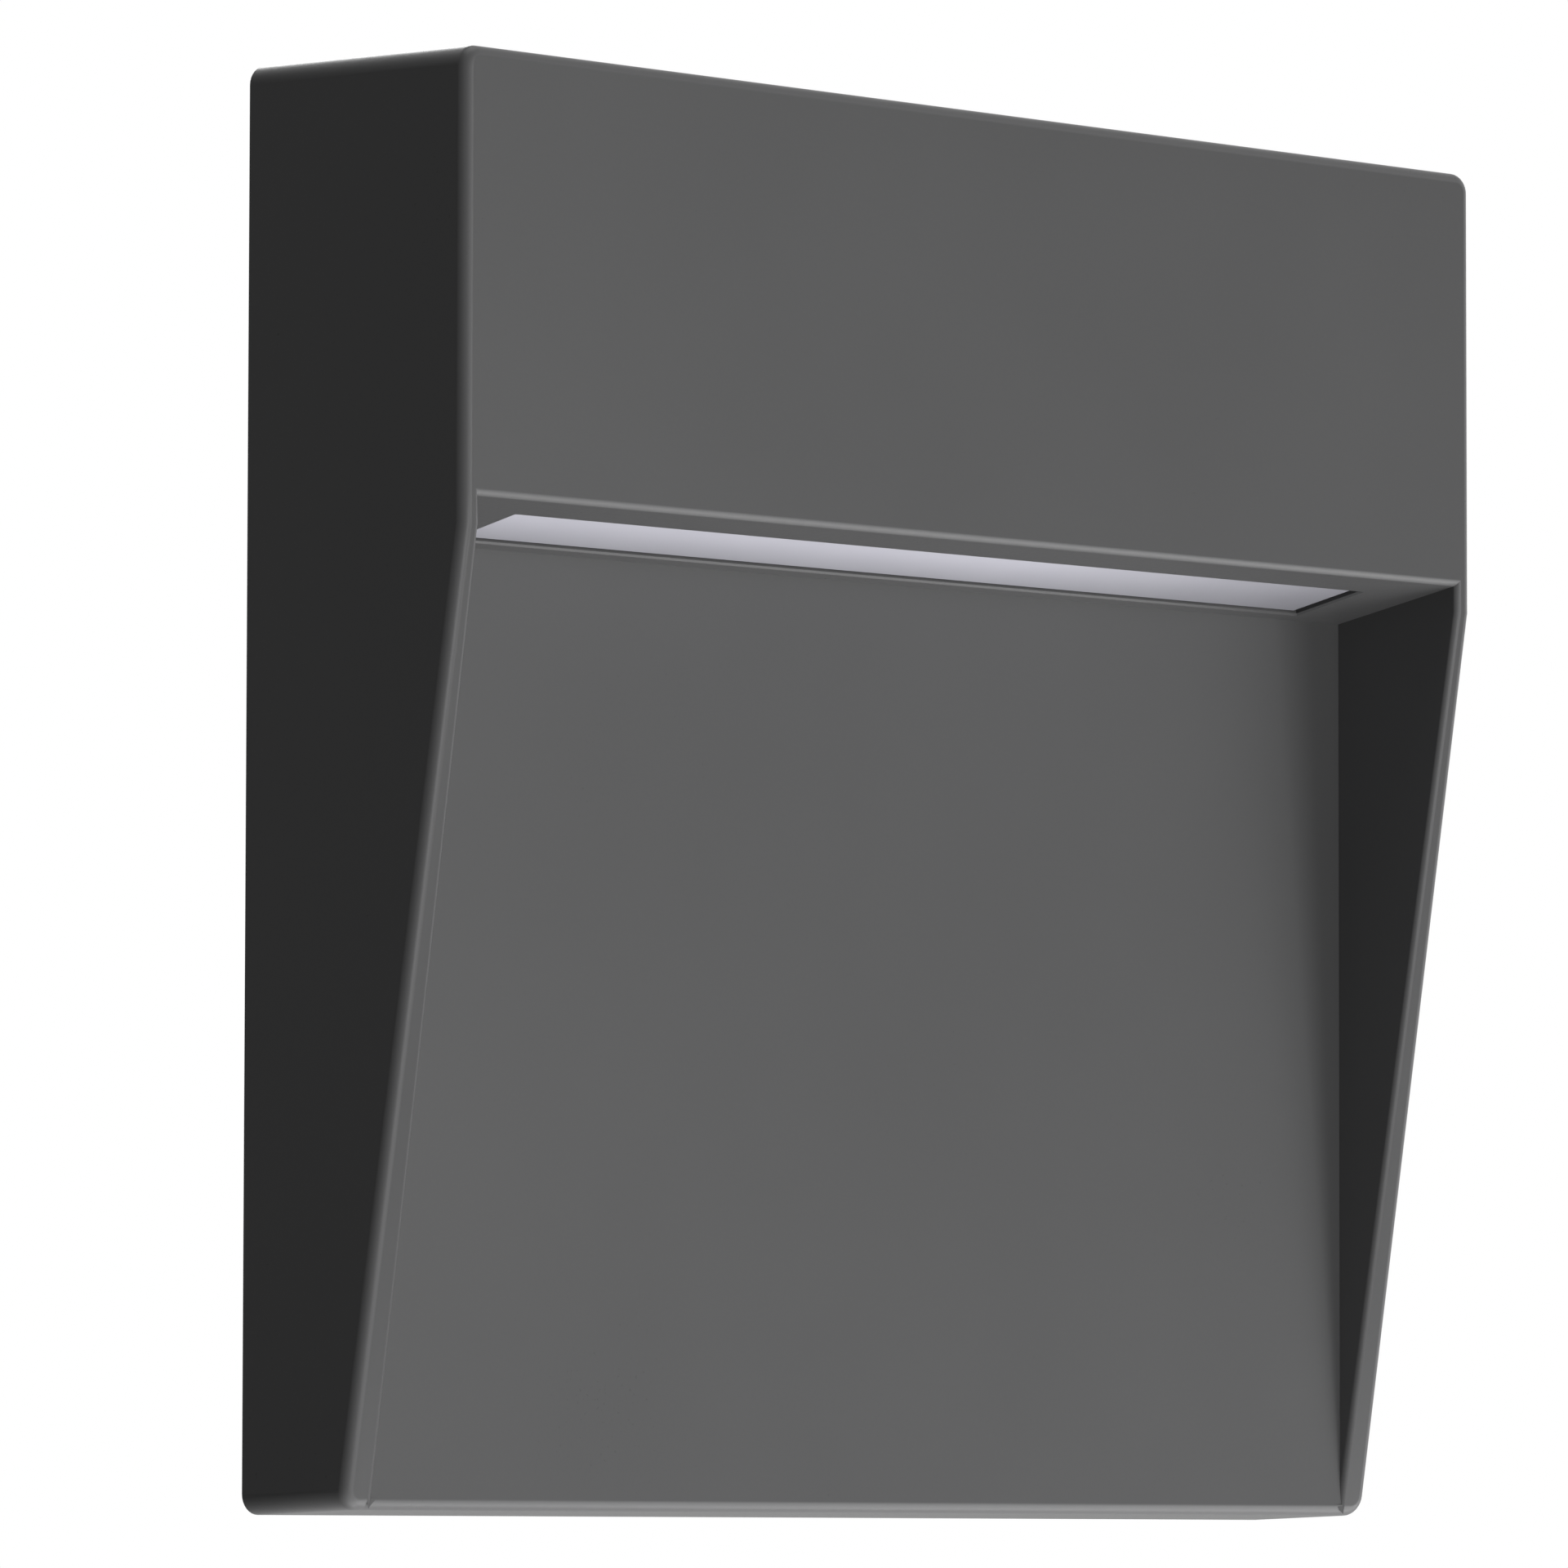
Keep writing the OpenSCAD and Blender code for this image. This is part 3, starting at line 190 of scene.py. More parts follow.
PAINTED_EDGE_HIGHLIGHT = 1.5                     # painted highlight: lightness of the hood's roundings beside its flats
LENS_REAR_SHADE = 0.50                    # painted shade: lightness of the lens at its rear edge
LENS_END_SHADE = 0.38                     # painted shade: lightness of the lens at its right end
LENS_DEPTH = (-25.3 * MM, -16.4 * MM)   # Y of the lens's front and rear edges
LENS_SIDE = (12 * MM, 62 * MM)      # X where the painted shade on the lens starts, and where it is darkest


def powder_coat(shade, base):
    """Satin powder coat: a fine even grain over a faint long wave, with a painted highlight on the
    roundings
    """
    grain = shade.noise(0.45 * MM, 2.0)
    peel = shade.noise(1.6 * MM, 1.0)
    cloud = shade.noise(28 * MM, 3.0)
    tone = cloud * 0.7 + grain * 0.3
    height = grain * 0.5 + peel * 0.5
    edge = shade.node("ShaderNodeAttribute", {"attribute_name": "rounding"}, out="Fac")
    coat = shade.mix(tone, tint(base, 0.93), tint(base, 1.07))
    return {
        # painted highlight: the roundings are tinted lighter than the flats
        "Base Color": shade.mix(edge, coat, tint(base, PAINTED_EDGE_HIGHLIGHT)),
        "Roughness": 0.24 + grain * 0.07 + cloud * 0.04,
        "Specular IOR Level": 0.095,
        "Normal": shade.bump(height, 0.02 * MM, 0.5),
    }


def frosted_lens(shade, base):
    """Frosted polycarbonate: a fine blasted grain, with painted shade towards the rear and the
    right end
    """
    grain = shade.noise(0.3 * MM, 3.0)
    cloud = shade.noise(9 * MM, 2.0)
    # masks for painted shade: darker towards the rear edge and towards the right end
    rear = shade.share("Y", *LENS_DEPTH)
    end = shade.share("X", *LENS_SIDE)
    body = shade.mix(end, shade.mix(rear, base, tint(base, LENS_REAR_SHADE)), tint(base, LENS_END_SHADE))
    tone = cloud * 0.6 + grain * 0.4
    return {
        "Base Color": shade.mix(tone, body, shade.mix(0.06, body, (1.0, 1.0, 1.0))),
        "Roughness": 0.42 + grain * 0.12,
        "Specular IOR Level": 0.4,
        "Normal": shade.bump(grain, 0.01 * MM, 0.5),
    }


# Finishes of the back and the works

BOARD_LINES = (300, 340)            # copper lines along X and along Z, in a metre
LEAD_STRIPES = 260                  # stripes of the earth lead, in a metre


def cast_metal(shade, base):
    """Bare die-cast aluminium: dull, with a blotchy skin"""
    grain = shade.noise(0.7 * MM, 4.0)
    flow = shade.noise(12 * MM, 4.0, (1.0, 1.0, 0.4))
    return {
        "Base Color": shade.mix(flow * 0.7 + grain * 0.3, tint(base, 0.78), tint(base, 1.12)),
        "Roughness": 0.38 + flow * 0.2 + grain * 0.1,
        "Metallic": 0.85,
        "Normal": shade.bump(grain * 0.6 + flow * 0.4, 0.04 * MM, 0.6),
    }


def rolled_sheet(shade, base):
    """Rolled sheet with its fine lines along X"""
    lines = shade.noise(0.35 * MM, 3.0, (0.03, 1.0, 1.0))
    cloud = shade.noise(10 * MM, 2.0)
    return {
        "Base Color": shade.mix(lines * 0.6 + cloud * 0.4, tint(base, 0.85), tint(base, 1.1)),
        "Roughness": 0.26 + lines * 0.2,
        "Metallic": 1.0,
        "Normal": shade.bump(lines, 0.01 * MM, 0.5),
    }


def plated(shade, base):
    """Zinc, nickel or brass: bright, with small stains in its gloss"""
    stain = shade.noise(1.2 * MM, 3.0)
    scratch = shade.noise(0.25 * MM, 2.0, (1.0, 0.15, 1.0))
    return {
        "Base Color": shade.mix(stain, tint(base, 0.82), tint(base, 1.1)),
        "Roughness": 0.2 + stain * 0.18 + scratch * 0.08,
        "Metallic": 1.0,
        "Normal": shade.bump(scratch, 0.006 * MM, 0.5),
    }


def moulded(shade, base, gloss=0.45):
    """Moulded plastic with a light spark-eroded skin"""
    skin = shade.noise(0.5 * MM, 3.0)
    cloud = shade.noise(8 * MM, 2.0)
    return {
        "Base Color": shade.mix(cloud * 0.7 + skin * 0.3, tint(base, 0.93), tint(base, 1.05)),
        "Roughness": gloss + skin * 0.12,
        "Normal": shade.bump(skin, 0.015 * MM, 0.5),
    }


def rubber(shade, base):
    """Silicone or rubber: matt, with a dusty bloom"""
    bloom = shade.noise(3 * MM, 4.0)
    skin = shade.noise(0.4 * MM, 2.0)
    return {
        "Base Color": shade.mix(bloom, tint(base, 0.85), tint(base, 1.35)),
        "Roughness": 0.62 + bloom * 0.2,
        "Specular IOR Level": 0.3,
        "Normal": shade.bump(skin * 0.6 + bloom * 0.4, 0.03 * MM, 0.6),
    }


def foam(shade, base):
    """Closed-cell foam: little round cells"""
    cell = shade.cells(0.9 * MM)
    fine = shade.noise(0.4 * MM, 3.0)
    return {
        "Base Color": shade.mix(cell, tint(base, 0.5), tint(base, 1.6)),
        "Roughness": 0.85 + fine * 0.1,
        "Specular IOR Level": 0.2,
        "Normal": shade.bump(cell * 0.8 + fine * 0.2, 0.2 * MM, 0.8),
    }


def lacquered_board(shade, base, line):
    """Circuit board: lacquer over copper lines, which show a little lighter"""
    across = shade.maths("PINGPONG", shade.axis("X") * BOARD_LINES[0], 0.5)
    down = shade.maths("PINGPONG", shade.axis("Z") * BOARD_LINES[1], 0.5)
    patch = shade.ramp(shade.noise(5 * MM, 1.0), (0.45, 0.0), (0.52, 1.0))
    copper = shade.maths("GREATER_THAN", across * patch + down * (1 - patch), 0.3)
    return {
        "Base Color": shade.mix(copper, base, line),
        "Roughness": 0.3 + shade.noise(1 * MM, 2.0) * 0.12,
        "Normal": shade.bump(copper, 0.03 * MM, 0.5),
    }


def phosphor(shade, base, rim):
    """LED: yellow phosphor in a pale package"""
    speck = shade.noise(0.25 * MM, 3.0)
    return {
        "Base Color": shade.mix(shade.ramp(speck, (0.3, 0.0), (0.6, 1.0)), rim, base),
        "Roughness": 0.35 + speck * 0.2,
        "Normal": shade.bump(speck, 0.02 * MM, 0.4),
    }


def insulation(shade, base, stripe=None):
    """Wire insulation, with a stripe for the earth lead"""
    skin = shade.noise(0.6 * MM, 3.0)
    body = shade.mix(skin, tint(base, 0.85), tint(base, 1.15))
    if stripe:
        turn = shade.maths("PINGPONG", (shade.axis("X") + shade.axis("Z")) * LEAD_STRIPES, 0.5)
        body = shade.mix(shade.maths("GREATER_THAN", turn, 0.25), body, stripe)
    return {
        "Base Color": body,
        "Roughness": 0.38 + skin * 0.15,
        "Normal": shade.bump(skin, 0.015 * MM, 0.5),
    }


# Each material slot's finish, its colour and what else the finish takes
FINISHES = {
    "silicone_dark": (rubber, (0.03, 0.03, 0.032)),
    "silicone_pale": (rubber, (0.55, 0.55, 0.53)),
    "box_white": (moulded, (0.82, 0.82, 0.80), 0.3),
    "board_white": (lacquered_board, (0.78, 0.79, 0.76), (0.85, 0.85, 0.82)),
    "led_phosphor": (phosphor, (0.85, 0.62, 0.12), (0.8, 0.78, 0.7)),
    "thermal_grey": (rubber, (0.22, 0.26, 0.34)),
    "sheet_aluminium": (rolled_sheet, (0.72, 0.73, 0.75)),
    "plate_cast": (cast_metal, (0.42, 0.43, 0.45)),
    "foam_black": (foam, (0.014, 0.014, 0.014)),
    "grommet_rubber": (rubber, (0.012, 0.012, 0.012)),
    "steel_zinc": (plated, (0.66, 0.68, 0.72)),
    "steel_stainless": (plated, (0.52, 0.52, 0.53)),
    "brass_terminal": (plated, (0.72, 0.5, 0.2)),
    "case_white": (moulded, (0.75, 0.75, 0.73)),
    "circuit_green": (lacquered_board, (0.01, 0.1, 0.035), (0.03, 0.2, 0.08)),
    "ferrite": (moulded, (0.03, 0.03, 0.033), 0.55),
    "can_blue": (moulded, (0.015, 0.03, 0.14), 0.25),
    "chip_black": (moulded, (0.012, 0.012, 0.013), 0.5),
    "nylon_white": (moulded, (0.72, 0.71, 0.66)),
    "lead_brown": (insulation, (0.11, 0.04, 0.015)),
    "lead_blue": (insulation, (0.01, 0.05, 0.32)),
    "lead_green_yellow": (insulation, (0.05, 0.28, 0.03), (0.72, 0.62, 0.02)),
    "lead_red": (insulation, (0.45, 0.008, 0.006)),
    "lead_black": (insulation, (0.01, 0.01, 0.01)),
}
# Nodes that are modelled anew. The others are carried over.
MODELLED = ("housing", "lens", "fixing_screws", "fixing_seals")
# Width of the broken edges of a carried-over node, where it isn't SMALL_BREAK
SMALL_BREAK = 0.12 * MM
BREAKS = {"back_plate": 0.3 * MM, "driver_case": 0.3 * MM, "driver_lid": 0.3 * MM,
          "terminal_block": 0.25 * MM, "driver_transformer": 0.25 * MM, "wall_seal": 0.25 * MM,
          "cable_clamp": 0.25 * MM}
BREAK_ANGLE = math.radians(40)      # edges that turn by more than this are broken
BREAK_STEPS = 2
WELD_REACH = 0.002 * MM
LEAD_LEVELS = 2                     # subdivisions of a lead


# Settings. Sizes are given in millimetres and angles in degrees, and are kept as Blender's own.

def size_in_mm(name, description, size):
    return bpy.props.FloatProperty(
        name=name, description=description, default=size * MM, unit="LENGTH")


def pair_in_mm(name, description, pair):
    return bpy.props.FloatVectorProperty(
        name=name, description=description, default=tuple(size * MM for size in pair), size=2,
        unit="LENGTH")


def angle_in_degrees(name, description, angle):
    return bpy.props.FloatProperty(
        name=name, description=description, default=math.radians(angle), subtype="ANGLE")


def surface_colour(name, description, tone):
    return bpy.props.FloatVectorProperty(
        name=name, description=description, default=tone, size=3, min=0, max=1, subtype="COLOR")


def light_level(name, description, level):
    return bpy.props.FloatProperty(name=name, description=description, default=level, min=0)


class StepLightHoodSizes(bpy.types.PropertyGroup):
    """Sizes of the hood, from its outside to its hollow"""

    face_height: size_in_mm(
        "Face height", "Height of the full-depth front face, down to the lip", 43.8)
    foot_depth: size_in_mm("Foot depth", "Depth at the panel and at the bottom edge", 14.4)
    slope_drop: size_in_mm(
        "Slope drop", "From the lip down to where the side walls start to slope", 2.8)
    draft: angle_in_degrees("Draft", "Casting draft of the outside", 1.8)
    inner_draft: angle_in_degrees("Inner draft", "Draft of the inside of the side walls", 3.4)
    underside_tilt: angle_in_degrees(
        "Underside tilt", "Fall of the underside from the lip to the panel", 10.8)
    side_wall: size_in_mm("Side wall", "Side wall at its front edge", 2.1)
    front_wall: size_in_mm("Front wall", "Wall behind the front face", 2.6)
    panel_wall: size_in_mm("Panel wall", "Wall behind the panel", 2.4)
    underside_wall: size_in_mm("Underside wall", "Wall that carries the lens", 3.0)
    rim: size_in_mm("Rim", "Rim round the back plate", 2.8)
    ledge: size_in_mm("Ledge", "Width of the ledge for the gasket", 2.0)
    seat: size_in_mm("Seat", "From the wall to the ledge", 3.2)
    inside_radius: size_in_mm("Inside radius", "Corners of the rim's inside", 3.0)
    corner_radius: size_in_mm("Corner radius", "Edges that run from front to back", 2.0)
    edge_radius: size_in_mm("Edge radius", "Edges round the front", 1.1)
    lip_radius: size_in_mm("Lip radius", "Lip and inner edges of the side walls", 0.6)
    bracket_pad: pair_in_mm(
        "Bracket pad", "X and Z of the pads that carry the bracket", (54.0, 46.752))
    driver_pad: pair_in_mm("Driver pad", "X and Z of the pads that carry the driver", (41.9, 54.6))
    earth_boss: pair_in_mm("Earth boss", "X and Z of the boss behind the panel", (-40, 12))
    pad: size_in_mm("Pad", "Diameter of pads and boss", 7.6)
    pad_height: size_in_mm("Pad height", "Height of pads and boss", 3.0)
    thread: size_in_mm("Thread", "Holes in pads and boss", 3.1)
    thread_depth: size_in_mm("Thread depth", "Depth of those holes", 4.4)
    rib_width: size_in_mm("Rib width", "Ribs behind the panel", 1.6)
    rib_height: size_in_mm("Rib height", "Height of those ribs", 1.2)
    rib_gap: size_in_mm("Rib gap", "From the lip down to the ribs' ends", 8)
    catch_aside: size_in_mm(
        "Catch aside", "From the middle to each catch for the back plate's hooks", 40)
    catch_width: size_in_mm("Catch width", "Width of the catches", 10)
    catch_height: size_in_mm("Catch height", "Height of the catches", 2.8)
    catch_depth: pair_in_mm("Catch depth", "Y of the catches' front and back", (-8.6, -6.6))


class StepLightLensSizes(bpy.types.PropertyGroup):
    """The light slot and the lens in it, measured along the underside"""

    slot_length: size_in_mm("Slot length", "Length of the light slot", 116)
    slot_start: size_in_mm("Slot start", "From the lip back to the slot", 5.2)
    slot_width: size_in_mm("Slot width", "Width of the light slot", 9.5)
    slot_bevel: size_in_mm("Slot bevel", "Broken edge round the slot", 0.2)
    recess: size_in_mm("Lens recess", "How far the lens stands back in its slot", 0.35)
    end_gap: size_in_mm("End gap", "Between the lens and each end of the slot", 0.6)
    side_gap: size_in_mm("Side gap", "Between the lens and the long sides of the slot", 0.2)
    flange: size_in_mm("Flange", "How far the flange reaches past the slot", 2.1)
    flange_end: size_in_mm(
        "Flange end", "How far the flange reaches past the ends of the slot", 3.0)
    flange_height: size_in_mm("Flange height", "Flange of the lens", 1.8)
    seal_height: size_in_mm("Seal height", "Gasket between hood and flange", 0.8)
    edge_radius: size_in_mm("Lens edge", "Rounding of the lens in its slot", 0.3)


class StepLightScrewSizes(bpy.types.PropertyGroup):
    """The two screws in the top that hold the hood on its back plate"""

    aside: size_in_mm("Aside", "From the middle to each screw", 56)
    depth: size_in_mm("Depth", "From the wall to the axis of the screws", 7.2)
    head: size_in_mm("Head", "Diameter of the head", 5.6)
    head_height: size_in_mm("Head height", "Height of the head", 2.0)
    below: size_in_mm(
        "Below", "From the hood's highest line down to the underside of the heads", 2.6)
    seal: size_in_mm("Seal", "Height of the seal under the head", 0.6)
    thread: size_in_mm("Thread", "Diameter of the thread", 3.0)
    length: size_in_mm("Length", "Length under the head", 9.0)
    room: size_in_mm("Room", "Room round head and shank in their holes", 0.2)


class StepLightColours(bpy.types.PropertyGroup):
    """Colours of what shows when the light is on its wall"""

    coat: surface_colour("Hood coat", "Powder coat of the hood", (0.0745, 0.0745, 0.0755))
    lens: surface_colour(
        "Lens", "Frosted strip in the underside of the upper block", (0.48, 0.475, 0.533))


class StepLightView(bpy.types.PropertyGroup):
    """Where the camera stands"""

    turn: angle_in_degrees(
        "Turn", "Turn of the camera round the light, 0 looks straight at the front", -42.796)
    tilt: angle_in_degrees("Tilt", "How far the camera looks up", 4.204)
    roll: angle_in_degrees("Roll", "Turn of the camera about its own axis", 0.111)
    distance: size_in_mm("Distance", "From the camera to the middle of the front face", 1029.978)
    aside: size_in_mm(
        "Aside", "How far the front face's middle lies to the right in the view", 20.341)
    above: size_in_mm(
        "Above", "How far the front face's middle lies above the view's middle", -2.182)
    lens: bpy.props.FloatProperty(
        name="Focal length", description="Focal length in millimetres on a sensor 36 mm wide",
        default=239.64, unit="CAMERA")


class StepLightStudio(bpy.types.PropertyGroup):
    """Floor, lamps and room. A lamp of level 1 would light a facing surface plainly by itself."""

    floor_drop: size_in_mm("Floor drop", "From the light's wall screws down to the floor", 900.0)
    key_level: light_level("Key level", "Soft lamp in front, to the right", 0.31)
    low_level: light_level(
        "Low level", "Low lamp on the right, which lights the underside and the lens", 0.76)
    floor_white: light_level(
        "Floor white", "White that the floor shows besides its lit colour", 0.54)
    back_level: light_level("Back level", "Lamp behind the light, for its rear side", 0.60)
    under_level: light_level("Under level", "Lamp close to the floor under the light", 0.78)
    front_level: light_level("Front level", "Soft lamp straight in front", 0.20)
    edge_level: light_level(
        "Edge level", "Strip lamp low in front, which draws the sloping edges", 0.22)
    top_level: light_level("Top level", "Soft lamp overhead, which lights the floor", 0.60)
    room_level: light_level("Room level", "Even light of the room", 0.03)


class StepLightProperties(bpy.types.PropertyGroup):
    """All that can be set"""

    hood: bpy.props.PointerProperty(type=StepLightHoodSizes)
    lens: bpy.props.PointerProperty(type=StepLightLensSizes)
    screws: bpy.props.PointerProperty(type=StepLightScrewSizes)
    colours: bpy.props.PointerProperty(type=StepLightColours)
    view: bpy.props.PointerProperty(type=StepLightView)
    studio: bpy.props.PointerProperty(type=StepLightStudio)


def settings():
    return bpy.context.scene.step_light


def smooth_by_angle():
    """Node group that smooths a mesh, but keeps its sharp edges"""
    group = bpy.data.node_groups.new("smooth_by_angle", "GeometryNodeTree")
    for way in ("INPUT", "OUTPUT"):
        group.interface.new_socket("Geometry", in_out=way, socket_type="NodeSocketGeometry")
    tree = Shade(group)
    mesh = tree.node("NodeGroupInput")
    turn = tree.node("GeometryNodeInputMeshEdgeAngle")
    soft = tree.node("GeometryNodeSetShadeSmooth", {"domain": "FACE"},
                     {"Geometry": mesh, "Shade Smooth": True})
    sharp = tree.maths("GREATER_THAN", turn, SHARP)
    done = tree.node("GeometryNodeSetShadeSmooth", {"domain": "EDGE"},
                     {"Geometry": soft, "Selection": sharp, "Shade Smooth": False})
    tree.node("NodeGroupOutput", values={0: done})
    return group


def soften(thing, node, group):
    """Join a carried-over node's triangles, smooth it, and break its edges unless it is a lead."""
    weld = thing.modifiers.new("weld", "WELD")
    weld.merge_threshold = WELD_REACH
    if "lead" in node:
        flow = thing.modifiers.new("flow", "SUBSURF")
        flow.levels = flow.render_levels = LEAD_LEVELS
    smooth = thing.modifiers.new("smooth", "NODES")
    smooth.node_group = group
    if "lead" in node:
        return
    bevel = thing.modifiers.new("broken_edges", "BEVEL")
    bevel.limit_method = "ANGLE"
    bevel.angle_limit = BREAK_ANGLE
    bevel.width = BREAKS.get(node, SMALL_BREAK)
    bevel.segments = BREAK_STEPS
    bevel.harden_normals = True


def finish_piece(name, shape, made, node):
    """Make the object of a modelled piece, which stands for its node."""
    mesh = bpy.data.meshes.new(name)
    shape.to_mesh(mesh)
    shape.free()
    mesh.materials.append(made)
    piece = bpy.data.objects.new(name, mesh)
    bpy.context.collection.objects.link(piece)
    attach(piece, "root")
    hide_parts(node)
    return piece


def smooth_but(shape, sharp):
    """Smooth faces, with the edges left sharp that turn by more than this angle"""
    for face in shape.faces:
        face.smooth = True
    for edge in shape.edges:
        edge.smooth = edge.calc_face_angle(0.0) < sharp


def even_normals(piece):
    """Keep flat faces flat beside their roundings."""
    weighted = piece.modifiers.new("even_normals", "WEIGHTED_NORMAL")
    weighted.keep_sharp = True
    weighted.weight = 100


def nearest(shape, place):
    """The vertex nearest to a place"""
    return min(shape.verts, key=lambda vert: (vert.co - Vector(place)).length_squared)


def edges_at(verts):
    """All edges at these vertices"""
    return list({edge for vert in verts for edge in vert.link_edges})


def face_outward(shape):
    """Turn all faces outward."""
    bmesh.ops.recalc_face_normals(shape, faces=shape.faces)


def inset(shape, face, width):
    """Draw a smaller copy of the face's outline in it, which becomes the face."""
    bmesh.ops.inset_region(shape, faces=[face], thickness=width, use_even_offset=True)


def round_edges(shape, edges, radius, steps):
    bmesh.ops.bevel(shape, geom=edges, offset=radius, offset_type="OFFSET", segments=steps,
                    profile=0.5, affect="EDGES", clamp_overlap=False, loop_slide=True, material=-1)


def split_faces(shape, faces, place, normal):
    """Cut only these faces with a plane."""
    edges = {edge for face in faces for edge in face.edges}
    verts = {vert for face in faces for vert in face.verts}
    bmesh.ops.bisect_plane(shape, geom=[*faces, *edges, *verts], dist=CUT_REACH,
                           plane_co=place, plane_no=normal)


def draw_face(shape, face, move):
    """Extrude a face, move its copy and give it back."""
    made = bmesh.ops.extrude_face_region(shape, geom=[face])["geom"]
    bmesh.ops.delete(shape, geom=[face], context="FACES_ONLY")
    verts = [part for part in made if isinstance(part, bmesh.types.BMVert)]
    bmesh.ops.translate(shape, vec=move, verts=verts)
    return next(part for part in made if isinstance(part, bmesh.types.BMFace))


def draw_ring(shape, ring, move):
    """Extrude a ring of edges, move its copy and give that back."""
    made = bmesh.ops.extrude_edge_only(shape, edges=ring)["geom"]
    verts = [part for part in made if isinstance(part, bmesh.types.BMVert)]
    bmesh.ops.translate(shape, vec=move, verts=verts)
    return [part for part in made if isinstance(part, bmesh.types.BMEdge)]


def open_face(shape, face, *rings):
    """Replace a flat face by one with holes at these rings."""
    outline = list(face.edges)
    bmesh.ops.delete(shape, geom=[face], context="FACES_ONLY")
    rims = [edge for ring in rings for edge in ring]
    bmesh.ops.triangle_fill(shape, use_beauty=True, edges=outline + rims)


def round_ring(shape, place, radius, steps=ROUND_STEPS):
    """Level ring of edges"""
    made = bmesh.ops.create_circle(shape, segments=steps, radius=radius,
                                   matrix=Matrix.Translation(place))
    return edges_at(made["verts"])


def long_ring(shape, matrix, x_half, y_low, y_high):
    """Four-sided ring of edges in the plane of the matrix"""
    place = Matrix.Translation((0, (y_low + y_high) / 2, 0))
    size = Matrix.Diagonal((x_half, (y_high - y_low) / 2, 1, 1))
    made = bmesh.ops.create_grid(shape, x_segments=1, y_segments=1, size=1.0,
                                 matrix=matrix @ (place @ size))
    face = made["verts"][0].link_faces[0]
    ring = list(face.edges)
    bmesh.ops.delete(shape, geom=[face], context="FACES_ONLY")
    return ring


def face_at(shape, place):
    """The face whose centre is nearest to a place"""
    spot = Vector(place)
    return min(shape.faces, key=lambda face: (face.calc_center_median() - spot).length_squared)


def cone(shape, axis, low, high, low_radius, high_radius, steps=ROUND_STEPS):
    """Closed cone or cylinder between two heights on an axis"""
    middle = axis @ Matrix.Translation((0, 0, (low + high) / 2))
    bmesh.ops.create_cone(shape, cap_ends=True, segments=steps, radius1=low_radius,
                          radius2=high_radius, depth=high - low, matrix=middle)


def box_between(shape, low, high):
    """Box between two corners; gives its vertices back"""
    low, high = Vector(low), Vector(high)
    place = Matrix.Translation((low + high) / 2) @ Matrix.Diagonal((*(high - low), 1.0))
    return bmesh.ops.create_cube(shape, size=1.0, matrix=place)["verts"]


def boss(shape, place, turn, radius, length, hole, hole_depth):
    """Round boss with a softened rim and a blind hole, along Z before its turn"""
    axis = Matrix.Translation(place) @ turn
    cone(shape, axis, 0.0, length, radius, radius)
    top = axis @ Vector((0, 0, length))
    round_edges(shape, list(face_at(shape, top).edges), SOFT_EDGE, SOFT_STEPS)
    face = face_at(shape, top)
    inset(shape, face, radius - SOFT_EDGE - hole)
    draw_face(shape, face, turn.to_3x3() @ Vector((0, 0, -hole_depth)))


def soft_block(shape, low, high):
    """Box between two corners, with its edges rounded"""
    round_edges(shape, edges_at(box_between(shape, low, high)), SOFT_EDGE, SOFT_STEPS)


def largest(faces):
    return max(faces, key=lambda face: face.calc_area())


class HoodForm:
    """The hood's lines, worked out from its sizes"""

    def __init__(self):
        hood = settings().hood
        lens = settings().lens
        self.hood = hood
        self.half = HOOD_HIGH.x
        self.depth = -HOOD_LOW.y
        self.front_half = self.half - math.tan(hood.draft) * self.depth
        self.lip_z = self.half - hood.face_height
        self.slope_z = self.lip_z - hood.slope_drop
        self.wall_half = self.front_half - hood.side_wall
        self.recess = self.depth - hood.foot_depth
        self.panel_half = self.wall_half - math.tan(hood.inner_draft) * self.recess
        self.foot_z = -self.half + math.tan(hood.draft) * hood.foot_depth
        self.root_z = self.lip_z - math.tan(hood.underside_tilt) * self.recess
        self.inner_front_y = hood.front_wall - self.depth
        self.inner_panel_y = hood.panel_wall - hood.foot_depth
        self.hollow_half = self.half - hood.rim - hood.ledge
        # Frame of the underside: X along the slot, Y back from the lip, Z up from the outer surface
        self.underside = (Matrix.Translation((0, -self.depth, self.lip_z))
                          @ Matrix.Rotation(-hood.underside_tilt, 4, "X"))
        self.slot_half = lens.slot_length / 2
        self.slot_end = lens.slot_start + lens.slot_width

    def inner_z(self, y):
        """Height of the inner surface of the underside at this Y"""
        tilt = self.hood.underside_tilt
        outer_z = self.lip_z - (y + self.depth) * math.tan(tilt)
        return outer_z + self.hood.underside_wall / math.cos(tilt)


CORNER_STEPS = 8                    # faces across the roundings of corners and front edges
LIP_STEPS = 6                       # faces across those of the lip and the inner edges
FRONT_TILT = -0.9                   # highest Y of the front's and the slope's normals
SIDE_TILT = -0.3                    # lowest Y of an outer side's normal
FOOT_REACH = 0.1 * MM               # an edge this little above the foot is the bottom edge
FLAT_AREA = 100 * MM * MM           # larger faces are flats, smaller ones may be roundings
SINK = 0.5 * MM                     # how far bosses, ribs and catches reach into the wall
RIB_STEP = 0.4 * MM                 # how much lower the upright ribs are than the level one


